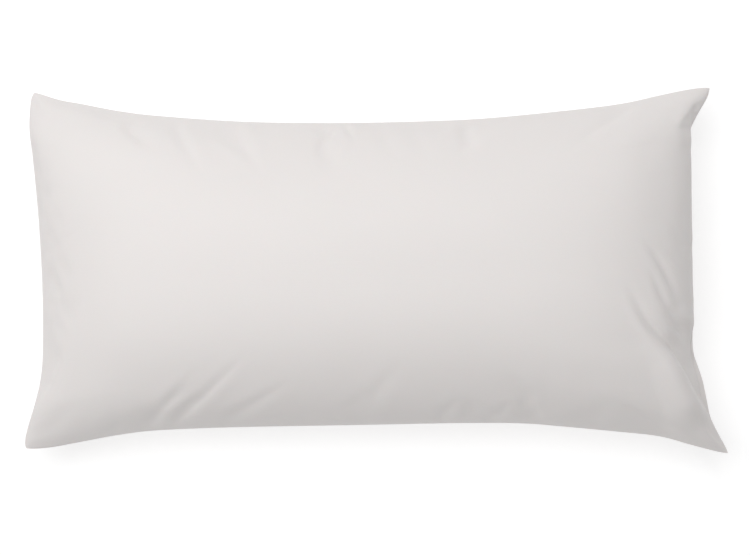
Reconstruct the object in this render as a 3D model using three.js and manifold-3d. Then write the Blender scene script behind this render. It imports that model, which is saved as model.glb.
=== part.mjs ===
// A 40 x 80 cm bed pillow: a fibre-filled insert inside a zipped cotton case.
// Millimetres. +X runs along the pillow to the zip end, +Y across it, +Z up. The pillow lies on its back
// panel, and the origin is under its middle, on the surface that it lies on.
import * as THREE from 'three';
import { mergeVertices } from 'three/addons/utils/BufferGeometryUtils.js';
import Module from 'manifold-3d';

// ---- driving dimensions -----------------------------------------------------------------------------
const LENGTH = 782;             // filled, over the corner tips
const WIDTH = 404;              // filled, over the corner tips
const HEIGHT = 165;             // filled, lying down
const SEAM_HEIGHT = 72;         // side seam above the resting surface
const BELLY = 24;               // how far the underside would hang below that surface if nothing held it
const CORNER_DROP = 16;         // how far the corner tips sink below the side seam
const DROP_RUN = 0.3;            // share of the half width over which the seam may sink that far

// how far each corner tip stops short of the full length and width
const TIP_SHORT = {
  closedRear: [6, 4],
  closedFront: [0, 5],
  zipRear: [19, 0],
  zipFront: [0, 0],
};
// how far the filled sides are drawn in between the corner tips
const WAIST_REAR = 38;
const WAIST_FRONT = 29;
const WAIST_CLOSED = 18;

const CLOTH = 0.6;              // woven panel of the case and of the insert's ticking
const EDGE_TURN = 1.5;          // a panel's width where it turns in at the seam
const SEAM_GAP = 0.3;           // clearance between two panels at their seam
const EASE = 0.9;               // clearance of the case round the insert
const FILL_EASE = 0.5;          // clearance of the ticking round the filling
const INSERT_INSET = 10;        // insert's edge inside the case's edge, room for the seam allowances
const FILL_INSET = 20;          // filling's edge inside the case's edge

const THREAD_THICK = 1.2;       // overlocked seam allowance
const CASE_ALLOWANCE = 5.5;     // its width on the case
const TICKING_ALLOWANCE = 5;    // and on the insert
const SEAM_INSET = 1;           // from the panel's turned edge to the allowance
const SEAM_END = 0.88;          // share of a long side that its allowance runs along, clear of the corners
const END_SEAM_END = 0.8;       // and of an end

const LABEL_THICK = 0.3;

// zip, in its own frame: X out of the pillow, Y along the chain to the closed end, Z up
const ZIP_X = 347.5;            // chain's middle from the pillow's middle
const ZIP_Y = 27;
const ZIP_LEAN = THREE.MathUtils.degToRad(2.2);
const CHAIN = 210;              // coil length
const ZIP_TAIL = 10;            // straight slot past the bottom stop, which the pull tab reaches over
const ZIP_HEAD = 6;             // and past the top stops
const SLOT_HALF = 4.4;          // from the chain's centre line to each panel's folded edge
const COIL_WIDTH = 1.8;
const COIL_THICK = 2;
const COIL_SLIT = 0.6;          // half the slit between the two coils
const COIL_DEPTH = 1.1;         // coil's outer face under the panel edges
const TAPE_WIDTH = 10;
const TAPE_THICK = 0.5;
const TAPE_SLIT = 0.8;
const RUN_GAP = 0.3;            // running and seating clearance of the small zip pieces
const SLIDER_LENGTH = 9;
const SLIDER_WIDTH = 6.8;
const SLIDER_PLATE = 1;
const SLIDER_WEB = 0.6;
const BRIDGE_LENGTH = 6.4;
const BRIDGE_WIDTH = 1.6;
const BRIDGE_BAR = 0.9;
const BRIDGE_FOOT = 1.2;
const TAB_LENGTH = 17;
const TAB_WIDTH = 4.6;
const TAB_THICK = 1.1;
const STOP_LENGTH = 2.2;

// zip depths, out of the pillow, from the outer face of the panels' folded edges
const COIL_FACE = -COIL_DEPTH;
const COIL_BACK = COIL_FACE - COIL_THICK;
const TAPE_FACE = COIL_BACK - RUN_GAP;

// ---- materials --------------------------------------------------------------------------------------
function finish(color, roughness, metalness = 0) {
  return new THREE.MeshStandardMaterial({ color, roughness, metalness });
}

const SATEEN = finish(0xe6e2e0, 0.75);
const TICKING = finish(0xf2f1ee, 0.85);
const THREAD = finish(0xe9e6e3, 0.8);
const FIBRE = finish(0xf7f7f5, 1);
const TAPE = finish(0xe2dfdc, 0.85);
const COIL = finish(0xe8e6e2, 0.45);
const LACQUER = finish(0xd9d6d2, 0.4, 0.6);
const LABEL = finish(0xf5f4f0, 0.6);

// ---- plan outline: s runs -1..1 from the closed end to the zip end, t runs -1..1 from front to rear -
const tip = (sideX, sideY, [shortX, shortY]) => [sideX * (LENGTH / 2 - shortX), sideY * (WIDTH / 2 - shortY)];
const CLOSED_REAR = tip(-1, 1, TIP_SHORT.closedRear);
const CLOSED_FRONT = tip(-1, -1, TIP_SHORT.closedFront);
const ZIP_REAR = tip(1, 1, TIP_SHORT.zipRear);
const ZIP_FRONT = tip(1, -1, TIP_SHORT.zipFront);
const mix = (a, b, k) => a + (b - a) * k;
const between = (p, q, k) => [mix(p[0], q[0], k), mix(p[1], q[1], k)];

// share of the waist at a place along a side: 0 at both tips, 1 at the deepest place
function drawnIn(place, deepest, powerBelow, powerAbove) {
  const below = place < deepest;
  const reach = below ? (deepest - place) / (deepest + 1) : (place - deepest) / (1 - deepest);
  return 1 - reach ** (below ? powerBelow : powerAbove);
}

function rearEdge(s) {
  const [x, y] = between(CLOSED_REAR, ZIP_REAR, (s + 1) / 2);
  return [x, y - WAIST_REAR * drawnIn(s, -0.1, 2.7, 1.9)];
}

function frontEdge(s) {
  const [x, y] = between(CLOSED_FRONT, ZIP_FRONT, (s + 1) / 2);
  return [x, y + WAIST_FRONT * drawnIn(s, 0.2, 2.6, 3.2)];
}

function closedEdge(t) {
  const [x, y] = between(CLOSED_FRONT, CLOSED_REAR, (t + 1) / 2);
  return [x + WAIST_CLOSED * drawnIn(t, -0.35, 2.5, 1.6), y];
}

// the zip's centre line, straight along the slot, in plan
const zipLineX = (y) => ZIP_X - (y - ZIP_Y) * Math.tan(ZIP_LEAN);
const SLOT_FRONT = ZIP_Y - (CHAIN / 2 + ZIP_TAIL) * Math.cos(ZIP_LEAN);
const SLOT_REAR = ZIP_Y + (CHAIN / 2 + ZIP_HEAD) * Math.cos(ZIP_LEAN);

function zipEdge(t) {
  const y = mix(ZIP_FRONT[1], ZIP_REAR[1], (t + 1) / 2);
  const corner = y > SLOT_REAR ? ZIP_REAR : ZIP_FRONT;
  const slotEnd = THREE.MathUtils.clamp(y, SLOT_FRONT, SLOT_REAR);
  const past = (y - slotEnd) / (corner[1] - slotEnd);
  return [mix(zipLineX(slotEnd), corner[0], Math.abs(past) ** 1.1), y];
}

// a point of the plan, blended from the four sides
function plan(s, t) {
  const front = frontEdge(s);
  const rear = rearEdge(s);
  const closed = closedEdge(t);
  const zip = zipEdge(t);
  const u = (s + 1) / 2;
  const v = (t + 1) / 2;
  const corners = between(between(CLOSED_FRONT, ZIP_FRONT, u), between(CLOSED_REAR, ZIP_REAR, u), v);
  return [0, 1].map((i) => mix(front[i], rear[i], v) + mix(closed[i], zip[i], u) - corners[i]);
}

// ---- heights ----------------------------------------------------------------------------------------
const acrossCrown = (t) => (1 - Math.abs(t) ** 2.4) ** 0.75;
// the zip end stands nearly upright at its edge, so the zip's tapes have room behind the panels
const alongCrown = (s) => (1 - Math.abs(s) ** 7) ** (s > 0 ? 0.38 : 0.7);
const crown = (s, t) => acrossCrown(t) * alongCrown(s);

// t of a y on the zip side, and how far a panel's edge stands open there for the zip
const zipPlace = (y) => 2 * (y - ZIP_FRONT[1]) / (ZIP_REAR[1] - ZIP_FRONT[1]) - 1;
const SLOT_RAMP = 0.07;
const slotOpen = (t) => THREE.MathUtils.smoothstep(t, zipPlace(SLOT_FRONT) - SLOT_RAMP, zipPlace(SLOT_FRONT))
  * (1 - THREE.MathUtils.smoothstep(t, zipPlace(SLOT_REAR), zipPlace(SLOT_REAR) + SLOT_RAMP));

// the seam runs level past the zip and then sinks to the corner tips
const LEVEL_RUN = Math.max(zipPlace(SLOT_REAR), -zipPlace(SLOT_FRONT)) + SLOT_RAMP;
const nearTip = (s, t) => s ** 4 * THREE.MathUtils.smoothstep(Math.abs(t), LEVEL_RUN, 1);
const TIP_DROP = CORNER_DROP * Math.min(1, (1 - LEVEL_RUN) / DROP_RUN);
const seamLevel = (s, t) => SEAM_HEIGHT - TIP_DROP * nearTip(s, t);

// A layer is a closed pair of faces. inset: its edge inside the case's edge. sink: its depth under the case's
// skin. lift: half its opening at the seam. slot: half its opening at the zip. hem: how much further in it
// lies at the zip, where the panels' turned hems meet the tapes.
const HEM_AT_ZIP = -TAPE_FACE - 2 * RUN_GAP - EDGE_TURN;
const CASE_SKIN = { inset: 0, sink: 0, lift: SEAM_GAP / 2 + CLOTH, slot: SLOT_HALF, hem: 0 };
const CASE_LINING = { inset: EDGE_TURN, sink: CLOTH, lift: SEAM_GAP / 2, slot: SLOT_HALF, hem: HEM_AT_ZIP };
const TICKING_SINK = CLOTH + EASE;
const insertLayer = (inset, sink, lift) => ({ inset, sink, lift, slot: 0, hem: 0 });
const TICKING_SKIN = insertLayer(INSERT_INSET, TICKING_SINK, SEAM_GAP / 2 + CLOTH);
const TICKING_LINING = insertLayer(INSERT_INSET + EDGE_TURN, TICKING_SINK + CLOTH, SEAM_GAP / 2);
const FILLING = insertLayer(FILL_INSET, TICKING_SINK + CLOTH + FILL_EASE, FILL_EASE);

function layerPoint(layer, side, s, t) {
  const byZip = slotOpen(t) * Math.max(0, s) ** 6;
  const inset = layer.inset + layer.hem * byZip;
  const [x, y] = plan(s * (1 - inset / (LENGTH / 2)), t * (1 - layer.inset / (WIDTH / 2)));
  const seam = seamLevel(s, t);
  const lift = layer.lift + layer.slot * byZip;
  const rise = side > 0 ? HEIGHT - SEAM_HEIGHT : SEAM_HEIGHT + BELLY;
  const z = seam + side * (lift + (rise - layer.sink - lift) * crown(s, t));
  return new THREE.Vector3(x, y, Math.max(layer.sink, z));
}

// ---- grids ------------------------------------------------------------------------------------------
const LENGTH_STEPS = 22;
const UPRIGHT_LINE = 0.997;     // one more line close to the zip end's edge
const evenLine = (i) => Math.sin(Math.PI * (i / LENGTH_STEPS - 0.5));
const S_LINES = [...Array.from({ length: LENGTH_STEPS }, (_, i) => evenLine(i)), UPRIGHT_LINE, 1];
// lines from one place to another, closer together towards the first
function run(from, to, steps, power) {
  return Array.from({ length: steps }, (_, i) => mix(from, to, (i / steps) ** power));
}
const EASED = 1.7;
const easedRun = (from, to, steps) => run(from, to, steps, EASED);
const evenRun = (from, to, steps) => run(from, to, steps, 1);
// closer lines at both long sides, and lines where the zip's slot opens and closes
const T_LINES = [
  ...easedRun(-1, zipPlace(SLOT_FRONT) - SLOT_RAMP, 5),
  zipPlace(SLOT_FRONT) - SLOT_RAMP,
  ...evenRun(zipPlace(SLOT_FRONT), zipPlace(SLOT_REAR), 6),
  zipPlace(SLOT_REAR),
  ...easedRun(1, zipPlace(SLOT_REAR) + SLOT_RAMP, 4).concat(zipPlace(SLOT_REAR) + SLOT_RAMP).reverse(),
];

// a closed body from two grids of points that share their layout: the outer face, the inner face and the rim
function slab(outer, inner) {
  const rows = outer.length;
  const columns = outer[0].length;
  const points = [...outer.flat(), ...inner.flat()];
  const index = [];
  const quad = (a, b, c, d) => index.push(a, b, c, a, c, d);
  const at = (face, i, j) => face * rows * columns + i * columns + j;
  for (let i = 0; i < rows - 1; i++) {
    for (let j = 0; j < columns - 1; j++) {
      quad(at(0, i, j), at(0, i + 1, j), at(0, i + 1, j + 1), at(0, i, j + 1));
      quad(at(1, i, j), at(1, i, j + 1), at(1, i + 1, j + 1), at(1, i + 1, j));
    }
  }
  const rim = [];
  for (let i = 0; i < rows - 1; i++) rim.push([i, 0]);
  for (let j = 0; j < columns - 1; j++) rim.push([rows - 1, j]);
  for (let i = rows - 1; i > 0; i--) rim.push([i, columns - 1]);
  for (let j = columns - 1; j > 0; j--) rim.push([0, j]);
  rim.forEach(([i, j], k) => {
    const [nextI, nextJ] = rim[(k + 1) % rim.length];
    quad(at(0, i, j), at(1, i, j), at(1, nextI, nextJ), at(0, nextI, nextJ));
  });
  const geometry = new THREE.BufferGeometry().setFromPoints(points);
  geometry.setIndex(index);
  geometry.computeVertexNormals();
  return geometry;
}

function face(layer, side, sLines, tLines) {
  return sLines.map((s) => tLines.map((t) => layerPoint(layer, side, s, t)));
}

// the piece of cloth between two layers on one side, 1 the sleeping side and -1 the underside
function cloth(skin, lining, side, sLines = S_LINES, tLines = T_LINES) {
  const [first, second] = side > 0 ? [skin, lining] : [lining, skin];
  return slab(face(first, side, sLines, tLines), face(second, side, sLines, tLines));
}

// the filling is one body between its own two faces
const fillingBody = () => slab(face(FILLING, 1, S_LINES, T_LINES), face(FILLING, -1, S_LINES, T_LINES));

// an overlocked allowance: a flat band in the seam's plane, along a run of (s, t) places
function allowance(places, inset, width) {
  const edge = (depth, z) => places.map(([s, t]) => {
    const [x, y] = plan(s * (1 - depth / (LENGTH / 2)), t * (1 - depth / (WIDTH / 2)));
    return new THREE.Vector3(x, y, seamLevel(s, t) + z);
  });
  const half = THREAD_THICK / 2;
  return slab(
    [edge(inset + width, half), edge(inset, half)],
    [edge(inset + width, -half), edge(inset, -half)],
  );
}

// geometry facing out, whichever way its run went
function facingOut(geometry) {
  const position = geometry.getAttribute('position');
  const corner = [0, 1, 2].map(() => new THREE.Vector3());
  let volume = 0;
  for (let i = 0; i < geometry.index.count; i += 3) {
    corner.forEach((point, k) => point.fromBufferAttribute(position, geometry.index.getX(i + k)));
    volume += corner[0].dot(corner[1].clone().cross(corner[2]));
  }
  if (volume < 0) geometry.setIndex(Array.from(geometry.index.array).reverse());
  return geometry;
}

// ---- solids -----------------------------------------------------------------------------------------
const wasm = await Module();
wasm.setup();

function toSolid(geometry) {
  const bare = geometry.clone().deleteAttribute('normal').deleteAttribute('uv');
  const merged = mergeVertices(bare);
  const vertProperties = new Float32Array(merged.getAttribute('position').array);
  const triVerts = new Uint32Array(merged.index.array);
  return new wasm.Manifold(new wasm.Mesh({ numProp: 3, vertProperties, triVerts }));
}

function toGeometry(solid) {
  const { vertProperties, triVerts } = solid.getMesh();
  const geometry = new THREE.BufferGeometry();
  geometry.setAttribute('position', new THREE.BufferAttribute(vertProperties, 3));
  geometry.setIndex(new THREE.BufferAttribute(triVerts, 1));
  geometry.computeVertexNormals();
  return geometry;
}

const joined = (geometries) => toGeometry(geometries.map(toSolid).reduce((a, b) => a.add(b)));

// a box given by its ranges along X, Y and Z
function block([x0, x1], [y0, y1], [z0, z1]) {
  const middle = [(x0 + x1) / 2, (y0 + y1) / 2, (z0 + z1) / 2];
  return new THREE.BoxGeometry(x1 - x0, y1 - y0, z1 - z0).translate(...middle);
}

// a plate with rounded corners that faces along X: middle y, length along Y, width along Z
function roundedPlate([x0, x1], middle, length, width, radius, hole = null) {
  const shape = new THREE.Shape();
  const [a, b] = [length / 2, width / 2];
  shape.moveTo(-a + radius, -b);
  shape.lineTo(a - radius, -b).absarc(a - radius, -b + radius, radius, -Math.PI / 2, 0);
  shape.lineTo(a, b - radius).absarc(a - radius, b - radius, radius, 0, Math.PI / 2);
  shape.lineTo(-a + radius, b).absarc(-a + radius, b - radius, radius, Math.PI / 2, Math.PI);
  shape.lineTo(-a, -b + radius).absarc(-a + radius, -b + radius, radius, Math.PI, Math.PI * 1.5);
  if (hole) shape.holes.push(hole);
  const plate = new THREE.ExtrudeGeometry(shape, { depth: x1 - x0, bevelEnabled: false, curveSegments: 3 });
  return plate.rotateX(Math.PI / 2).rotateZ(Math.PI / 2).translate(x0, middle, 0);
}

// ---- zip, in its own frame --------------------------------------------------------------------------
const TAPE_BACK = TAPE_FACE - TAPE_THICK;
const CHAIN_HALF = CHAIN / 2;
const COIL_EDGE = COIL_SLIT + COIL_WIDTH;
const TAPE_OVER_BOTTOM = 7;     // tape past the chain's open end
const TAPE_OVER_TOP = 3.5;      // and past its closed end
const SLIDER_Y = CHAIN_HALF - STOP_LENGTH - RUN_GAP - SLIDER_LENGTH / 2;     // closed
const PLATE_BACK = COIL_FACE + RUN_GAP;
const PLATE_FACE = PLATE_BACK + SLIDER_PLATE;
const TAB_BAR_X = PLATE_FACE + RUN_GAP + TAB_THICK / 2;

const range = (a, b, up) => (up > 0 ? [a, b] : [-b, -a]);
const COIL_RUN = CHAIN_HALF - STOP_LENGTH - RUN_GAP;
const TAPE_RUN = [-CHAIN_HALF - TAPE_OVER_BOTTOM, CHAIN_HALF + TAPE_OVER_TOP];
const tape = (up) => block([TAPE_BACK, TAPE_FACE], TAPE_RUN, range(TAPE_SLIT, TAPE_SLIT + TAPE_WIDTH, up));
const coil = (up) => block([COIL_BACK, COIL_FACE], [-COIL_RUN, COIL_RUN], range(COIL_SLIT, COIL_EDGE, up));
const stop = (alongY, alongZ) => block([COIL_BACK, COIL_FACE], alongY, alongZ);
const topStop = (up) => stop([CHAIN_HALF - STOP_LENGTH, CHAIN_HALF], range(COIL_SLIT, COIL_EDGE, up));
const bottomStop = () => stop([-CHAIN_HALF, -CHAIN_HALF + STOP_LENGTH], [-COIL_EDGE, COIL_EDGE]);

// outer plate with turned-down sides, plate behind the tapes, web between the coils, and the tab's bridge
function sliderBody() {
  const half = SLIDER_LENGTH / 2;
  const inPlate = PLATE_BACK + SLIDER_PLATE / 2;
  const flangeDepth = [TAPE_FACE + RUN_GAP * 2, inPlate];
  const flangeAcross = (up) => range(COIL_EDGE + RUN_GAP, SLIDER_WIDTH / 2, up);
  const flange = (up) => block(flangeDepth, [-half + 1, half - 1], flangeAcross(up));
  const barBack = TAB_BAR_X + TAB_THICK / 2 + RUN_GAP;
  const bridgeAcross = [-BRIDGE_WIDTH / 2, BRIDGE_WIDTH / 2];
  const footRun = (end) => range(BRIDGE_LENGTH / 2 - BRIDGE_FOOT, BRIDGE_LENGTH / 2, end);
  const foot = (end) => block([inPlate, barBack + BRIDGE_BAR / 2], footRun(end), bridgeAcross);
  const backPlate = [TAPE_BACK - RUN_GAP - SLIDER_PLATE, TAPE_BACK - RUN_GAP];
  return joined([
    roundedPlate([PLATE_BACK, PLATE_FACE], 0, SLIDER_LENGTH, SLIDER_WIDTH, 2),
    roundedPlate(backPlate, 0, SLIDER_LENGTH, SLIDER_WIDTH, 2),
    block([backPlate[1] - SLIDER_PLATE / 2, inPlate], [0, half - 1], [-SLIDER_WEB / 2, SLIDER_WEB / 2]),
    flange(1),
    flange(-1),
    foot(1),
    foot(-1),
    block([barBack, barBack + BRIDGE_BAR], [-BRIDGE_LENGTH / 2, BRIDGE_LENGTH / 2], bridgeAcross),
  ]).translate(0, SLIDER_Y, 0);
}

// the pull tab's round bar turns under the bridge, and the bridge passes through the window behind the bar
function pullTab() {
  const windowHalf = BRIDGE_WIDTH / 2 + RUN_GAP;
  const windowEnd = BRIDGE_LENGTH / 2 + RUN_GAP * 3;
  const bar = TAB_THICK / 2;
  const opening = new THREE.Path();
  const middle = -TAB_LENGTH / 2 + bar;
  opening.moveTo(-windowEnd - middle, -windowHalf);
  opening.lineTo(-bar - middle, -windowHalf).lineTo(-bar - middle, windowHalf);
  opening.lineTo(-windowEnd - middle, windowHalf);
  const plate = roundedPlate([-TAB_THICK / 2, TAB_THICK / 2], middle, TAB_LENGTH, TAB_WIDTH, bar, opening);
  return plate.translate(TAB_BAR_X, SLIDER_Y, 0);
}

// ---- seams, in (s, t) places ------------------------------------------------------------------------
const alongLength = (t) => S_LINES.filter((s) => Math.abs(s) <= SEAM_END).map((s) => [s, t]);
const alongEnd = (s, from, to) => {
  const inner = T_LINES.filter((t) => t > from + 0.02 && t < to - 0.02);
  return [from, ...inner, to].map((t) => [s, t]);
};
const CASE_SEAM = EDGE_TURN + SEAM_INSET;
const TICKING_SEAM = INSERT_INSET + EDGE_TURN + SEAM_INSET;
const CLOSING_HALF = 0.45;      // share of the insert's end that was left open for filling, then closed
const SEAM_BREAK = 0.015;       // between two seams that end beside each other
const TAPE_CLEAR = 0.05;        // between the tape's end and the seam beyond it
const caseSeam = (places) => facingOut(allowance(places, CASE_SEAM, CASE_ALLOWANCE));
const tickingSeam = (places) => facingOut(allowance(places, TICKING_SEAM, TICKING_ALLOWANCE));

// a woven care label between the case and the insert, caught in a long seam: a patch over whole grid cells
function careLabel(side, column, row, sink) {
  const skin = insertLayer(EDGE_TURN * 2, sink, SEAM_GAP);
  const lining = { ...skin, sink: sink + LABEL_THICK };
  return cloth(skin, lining, side, S_LINES.slice(column, column + 2), T_LINES.slice(row, row + 2));
}

// ---- scene graph ------------------------------------------------------------------------------------
const pillow = new THREE.Group();

function add(parent, name, geometry, material) {
  const mesh = new THREE.Mesh(geometry, material);
  mesh.name = name;
  parent.add(mesh);
}

function addCase() {
  add(pillow, 'case_front_panel', cloth(CASE_SKIN, CASE_LINING, 1), SATEEN);
  add(pillow, 'case_back_panel', cloth(CASE_SKIN, CASE_LINING, -1), SATEEN);
  add(pillow, 'case_seam_rear', caseSeam(alongLength(1)), THREAD);
  add(pillow, 'case_seam_front', caseSeam(alongLength(-1)), THREAD);
  add(pillow, 'case_seam_closed_end', caseSeam(alongEnd(-1, -END_SEAM_END, END_SEAM_END)), THREAD);
  const pastZip = [zipPlace(SLOT_FRONT) - TAPE_CLEAR, zipPlace(SLOT_REAR) + TAPE_CLEAR];
  add(pillow, 'case_seam_zip_end_rear', caseSeam(alongEnd(1, pastZip[1], SEAM_END)), THREAD);
  add(pillow, 'case_seam_zip_end_front', caseSeam(alongEnd(1, -END_SEAM_END, pastZip[0])), THREAD);
}

function addInsert() {
  add(pillow, 'insert_top_ticking', cloth(TICKING_SKIN, TICKING_LINING, 1), TICKING);
  add(pillow, 'insert_bottom_ticking', cloth(TICKING_SKIN, TICKING_LINING, -1), TICKING);
  add(pillow, 'insert_seam_rear', tickingSeam(alongLength(1)), THREAD);
  add(pillow, 'insert_seam_front', tickingSeam(alongLength(-1)), THREAD);
  add(pillow, 'insert_seam_zip_end', tickingSeam(alongEnd(1, -END_SEAM_END, END_SEAM_END)), THREAD);
  const closed = [-END_SEAM_END, -CLOSING_HALF - SEAM_BREAK, CLOSING_HALF + SEAM_BREAK, END_SEAM_END];
  add(pillow, 'insert_seam_closed_end_front', tickingSeam(alongEnd(-1, closed[0], closed[1])), THREAD);
  add(pillow, 'insert_closing_seam', tickingSeam(alongEnd(-1, -CLOSING_HALF, CLOSING_HALF)), THREAD);
  add(pillow, 'insert_seam_closed_end_rear', tickingSeam(alongEnd(-1, closed[2], closed[3])), THREAD);
  add(pillow, 'fibre_filling', fillingBody(), FIBRE);
}

function addZip() {
  const zip = new THREE.Group();
  zip.position.set(ZIP_X, ZIP_Y, SEAM_HEIGHT);
  zip.rotation.z = ZIP_LEAN;
  pillow.add(zip);
  for (const [name, up] of [['upper', 1], ['lower', -1]]) {
    add(zip, `zip_tape_${name}`, tape(up), TAPE);
    add(zip, `zip_coil_${name}`, coil(up), COIL);
    add(zip, `zip_top_stop_${name}`, topStop(up), COIL);
  }
  add(zip, 'zip_bottom_stop', bottomStop(), COIL);
  add(zip, 'zip_slider', sliderBody(), LACQUER);
  add(zip, 'zip_pull_tab', pullTab(), LACQUER);
}

function addLabels() {
  const sink = CLOTH + (EASE - LABEL_THICK) / 2;
  add(pillow, 'case_care_label', careLabel(-1, LENGTH_STEPS - 6, 5, sink), LABEL);
  add(pillow, 'insert_care_label', careLabel(1, 5, 5, sink), LABEL);
}

addCase();
addInsert();
addZip();
addLabels();

export default pillow;
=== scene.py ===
"""A filled 40 x 80 cm bed pillow: a fibre insert in a zipped cotton case."""

import logging
import math
from dataclasses import dataclass, field
from enum import Enum

import bmesh
import bpy
import numpy as np
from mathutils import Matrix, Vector


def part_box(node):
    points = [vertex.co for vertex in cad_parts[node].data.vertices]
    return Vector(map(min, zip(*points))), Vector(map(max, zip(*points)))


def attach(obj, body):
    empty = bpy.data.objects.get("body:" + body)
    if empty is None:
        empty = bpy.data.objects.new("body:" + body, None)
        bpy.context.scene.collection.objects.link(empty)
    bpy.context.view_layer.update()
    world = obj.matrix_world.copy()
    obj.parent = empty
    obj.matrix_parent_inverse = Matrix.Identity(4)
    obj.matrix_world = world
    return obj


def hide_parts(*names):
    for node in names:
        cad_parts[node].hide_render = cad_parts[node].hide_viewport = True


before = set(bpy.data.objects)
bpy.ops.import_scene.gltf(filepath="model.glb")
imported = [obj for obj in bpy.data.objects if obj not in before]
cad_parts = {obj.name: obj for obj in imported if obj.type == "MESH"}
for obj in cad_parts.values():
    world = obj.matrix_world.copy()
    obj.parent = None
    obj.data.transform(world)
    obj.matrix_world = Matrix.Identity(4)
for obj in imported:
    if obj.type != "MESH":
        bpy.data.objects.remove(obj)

MM = 0.001
VIEW_HEIGHT = 2.5  # from the seam's level to the camera, in metres
log = logging.getLogger("pillow")
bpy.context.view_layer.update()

Array = np.ndarray
Points = tuple[tuple[float, float], ...]
Triple = tuple[float, float, float]


class Side(Enum):
    """The two faces of the pillow."""

    SLEEPING = 1
    UNDERSIDE = -1


# ---- small geometry helpers ----------------------------------------------------------------------


def mix(a: Array | float, b: Array | float, k: Array | float) -> Array | float:
    """The value a share k of the way from a to b."""
    return a + (b - a) * k


def smoothstep(x: Array, low: float, high: float) -> Array:
    """0 below low, 1 above high, smooth between."""
    k = np.clip((x - low) / (high - low), 0, 1)
    return k * k * (3 - 2 * k)


def spline(points: Array, steps: int) -> Array:
    """A smooth line through chosen points.

    Args:
        points: the points, one a row.
        steps: how many spans each stretch between two points gets.

    Returns:
        The line's points, one a row.
    """
    p = np.asarray(points, float)
    p = np.vstack([2 * p[0] - p[1], p, 2 * p[-1] - p[-2]])
    k = np.linspace(0, 1, steps, endpoint=False)[:, None]
    runs = []
    for a, b, c, d in zip(p, p[1:], p[2:], p[3:]):
        square, cube = 2 * a - 5 * b + 4 * c - d, 3 * b - a - 3 * c + d
        runs.append(0.5 * (2 * b + (c - a) * k + square * k**2 + cube * k**3))
    return np.vstack([*runs, p[-2][None]])


def length_along(line: Array) -> Array:
    """How far along a line each of its points lies."""
    return np.concatenate([[0], np.cumsum(np.linalg.norm(np.diff(line, axis=0), axis=1))])


def finer(grid: Array, axis: int) -> Array:
    """A grid with a cubic midpoint added between every two neighbours along one axis.

    Args:
        grid: the values, with any further axes after the first two.
        axis: the axis along which it is refined.

    Returns:
        The finer grid.
    """
    g = np.moveaxis(grid, axis, 0)
    ends = np.concatenate([2 * g[:1] - g[1:2], g, 2 * g[-1:] - g[-2:-1]])
    middle = (9 * (ends[1:-2] + ends[2:-1]) - ends[:-3] - ends[3:]) / 16
    made = np.empty((2 * len(g) - 1, *g.shape[1:]))
    made[::2] = g
    made[1::2] = middle
    return np.moveaxis(made, 0, axis)


def normals_of(grid: Array, up: int) -> Array:
    """Unit normals of a grid of points, pointing to the side that up says."""
    n = np.cross(np.gradient(grid, axis=0), np.gradient(grid, axis=1)) * up
    return n / np.maximum(np.linalg.norm(n, axis=-1, keepdims=True), 1e-12)


def blurred(grid: Array, passes: int) -> Array:
    """A grid smoothed by passes of a small kernel, with its border kept.

    Args:
        grid: the values.
        passes: how many times it is smoothed.

    Returns:
        The smoothed grid.
    """
    g = grid.copy()
    for _ in range(passes):
        around = g[:-2, 1:-1] + g[2:, 1:-1] + g[1:-1, :-2] + g[1:-1, 2:]
        g[1:-1, 1:-1] = 0.5 * g[1:-1, 1:-1] + 0.125 * around
    return g


# ---- the filled shape ----------------------------------------------------------------------------


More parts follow.
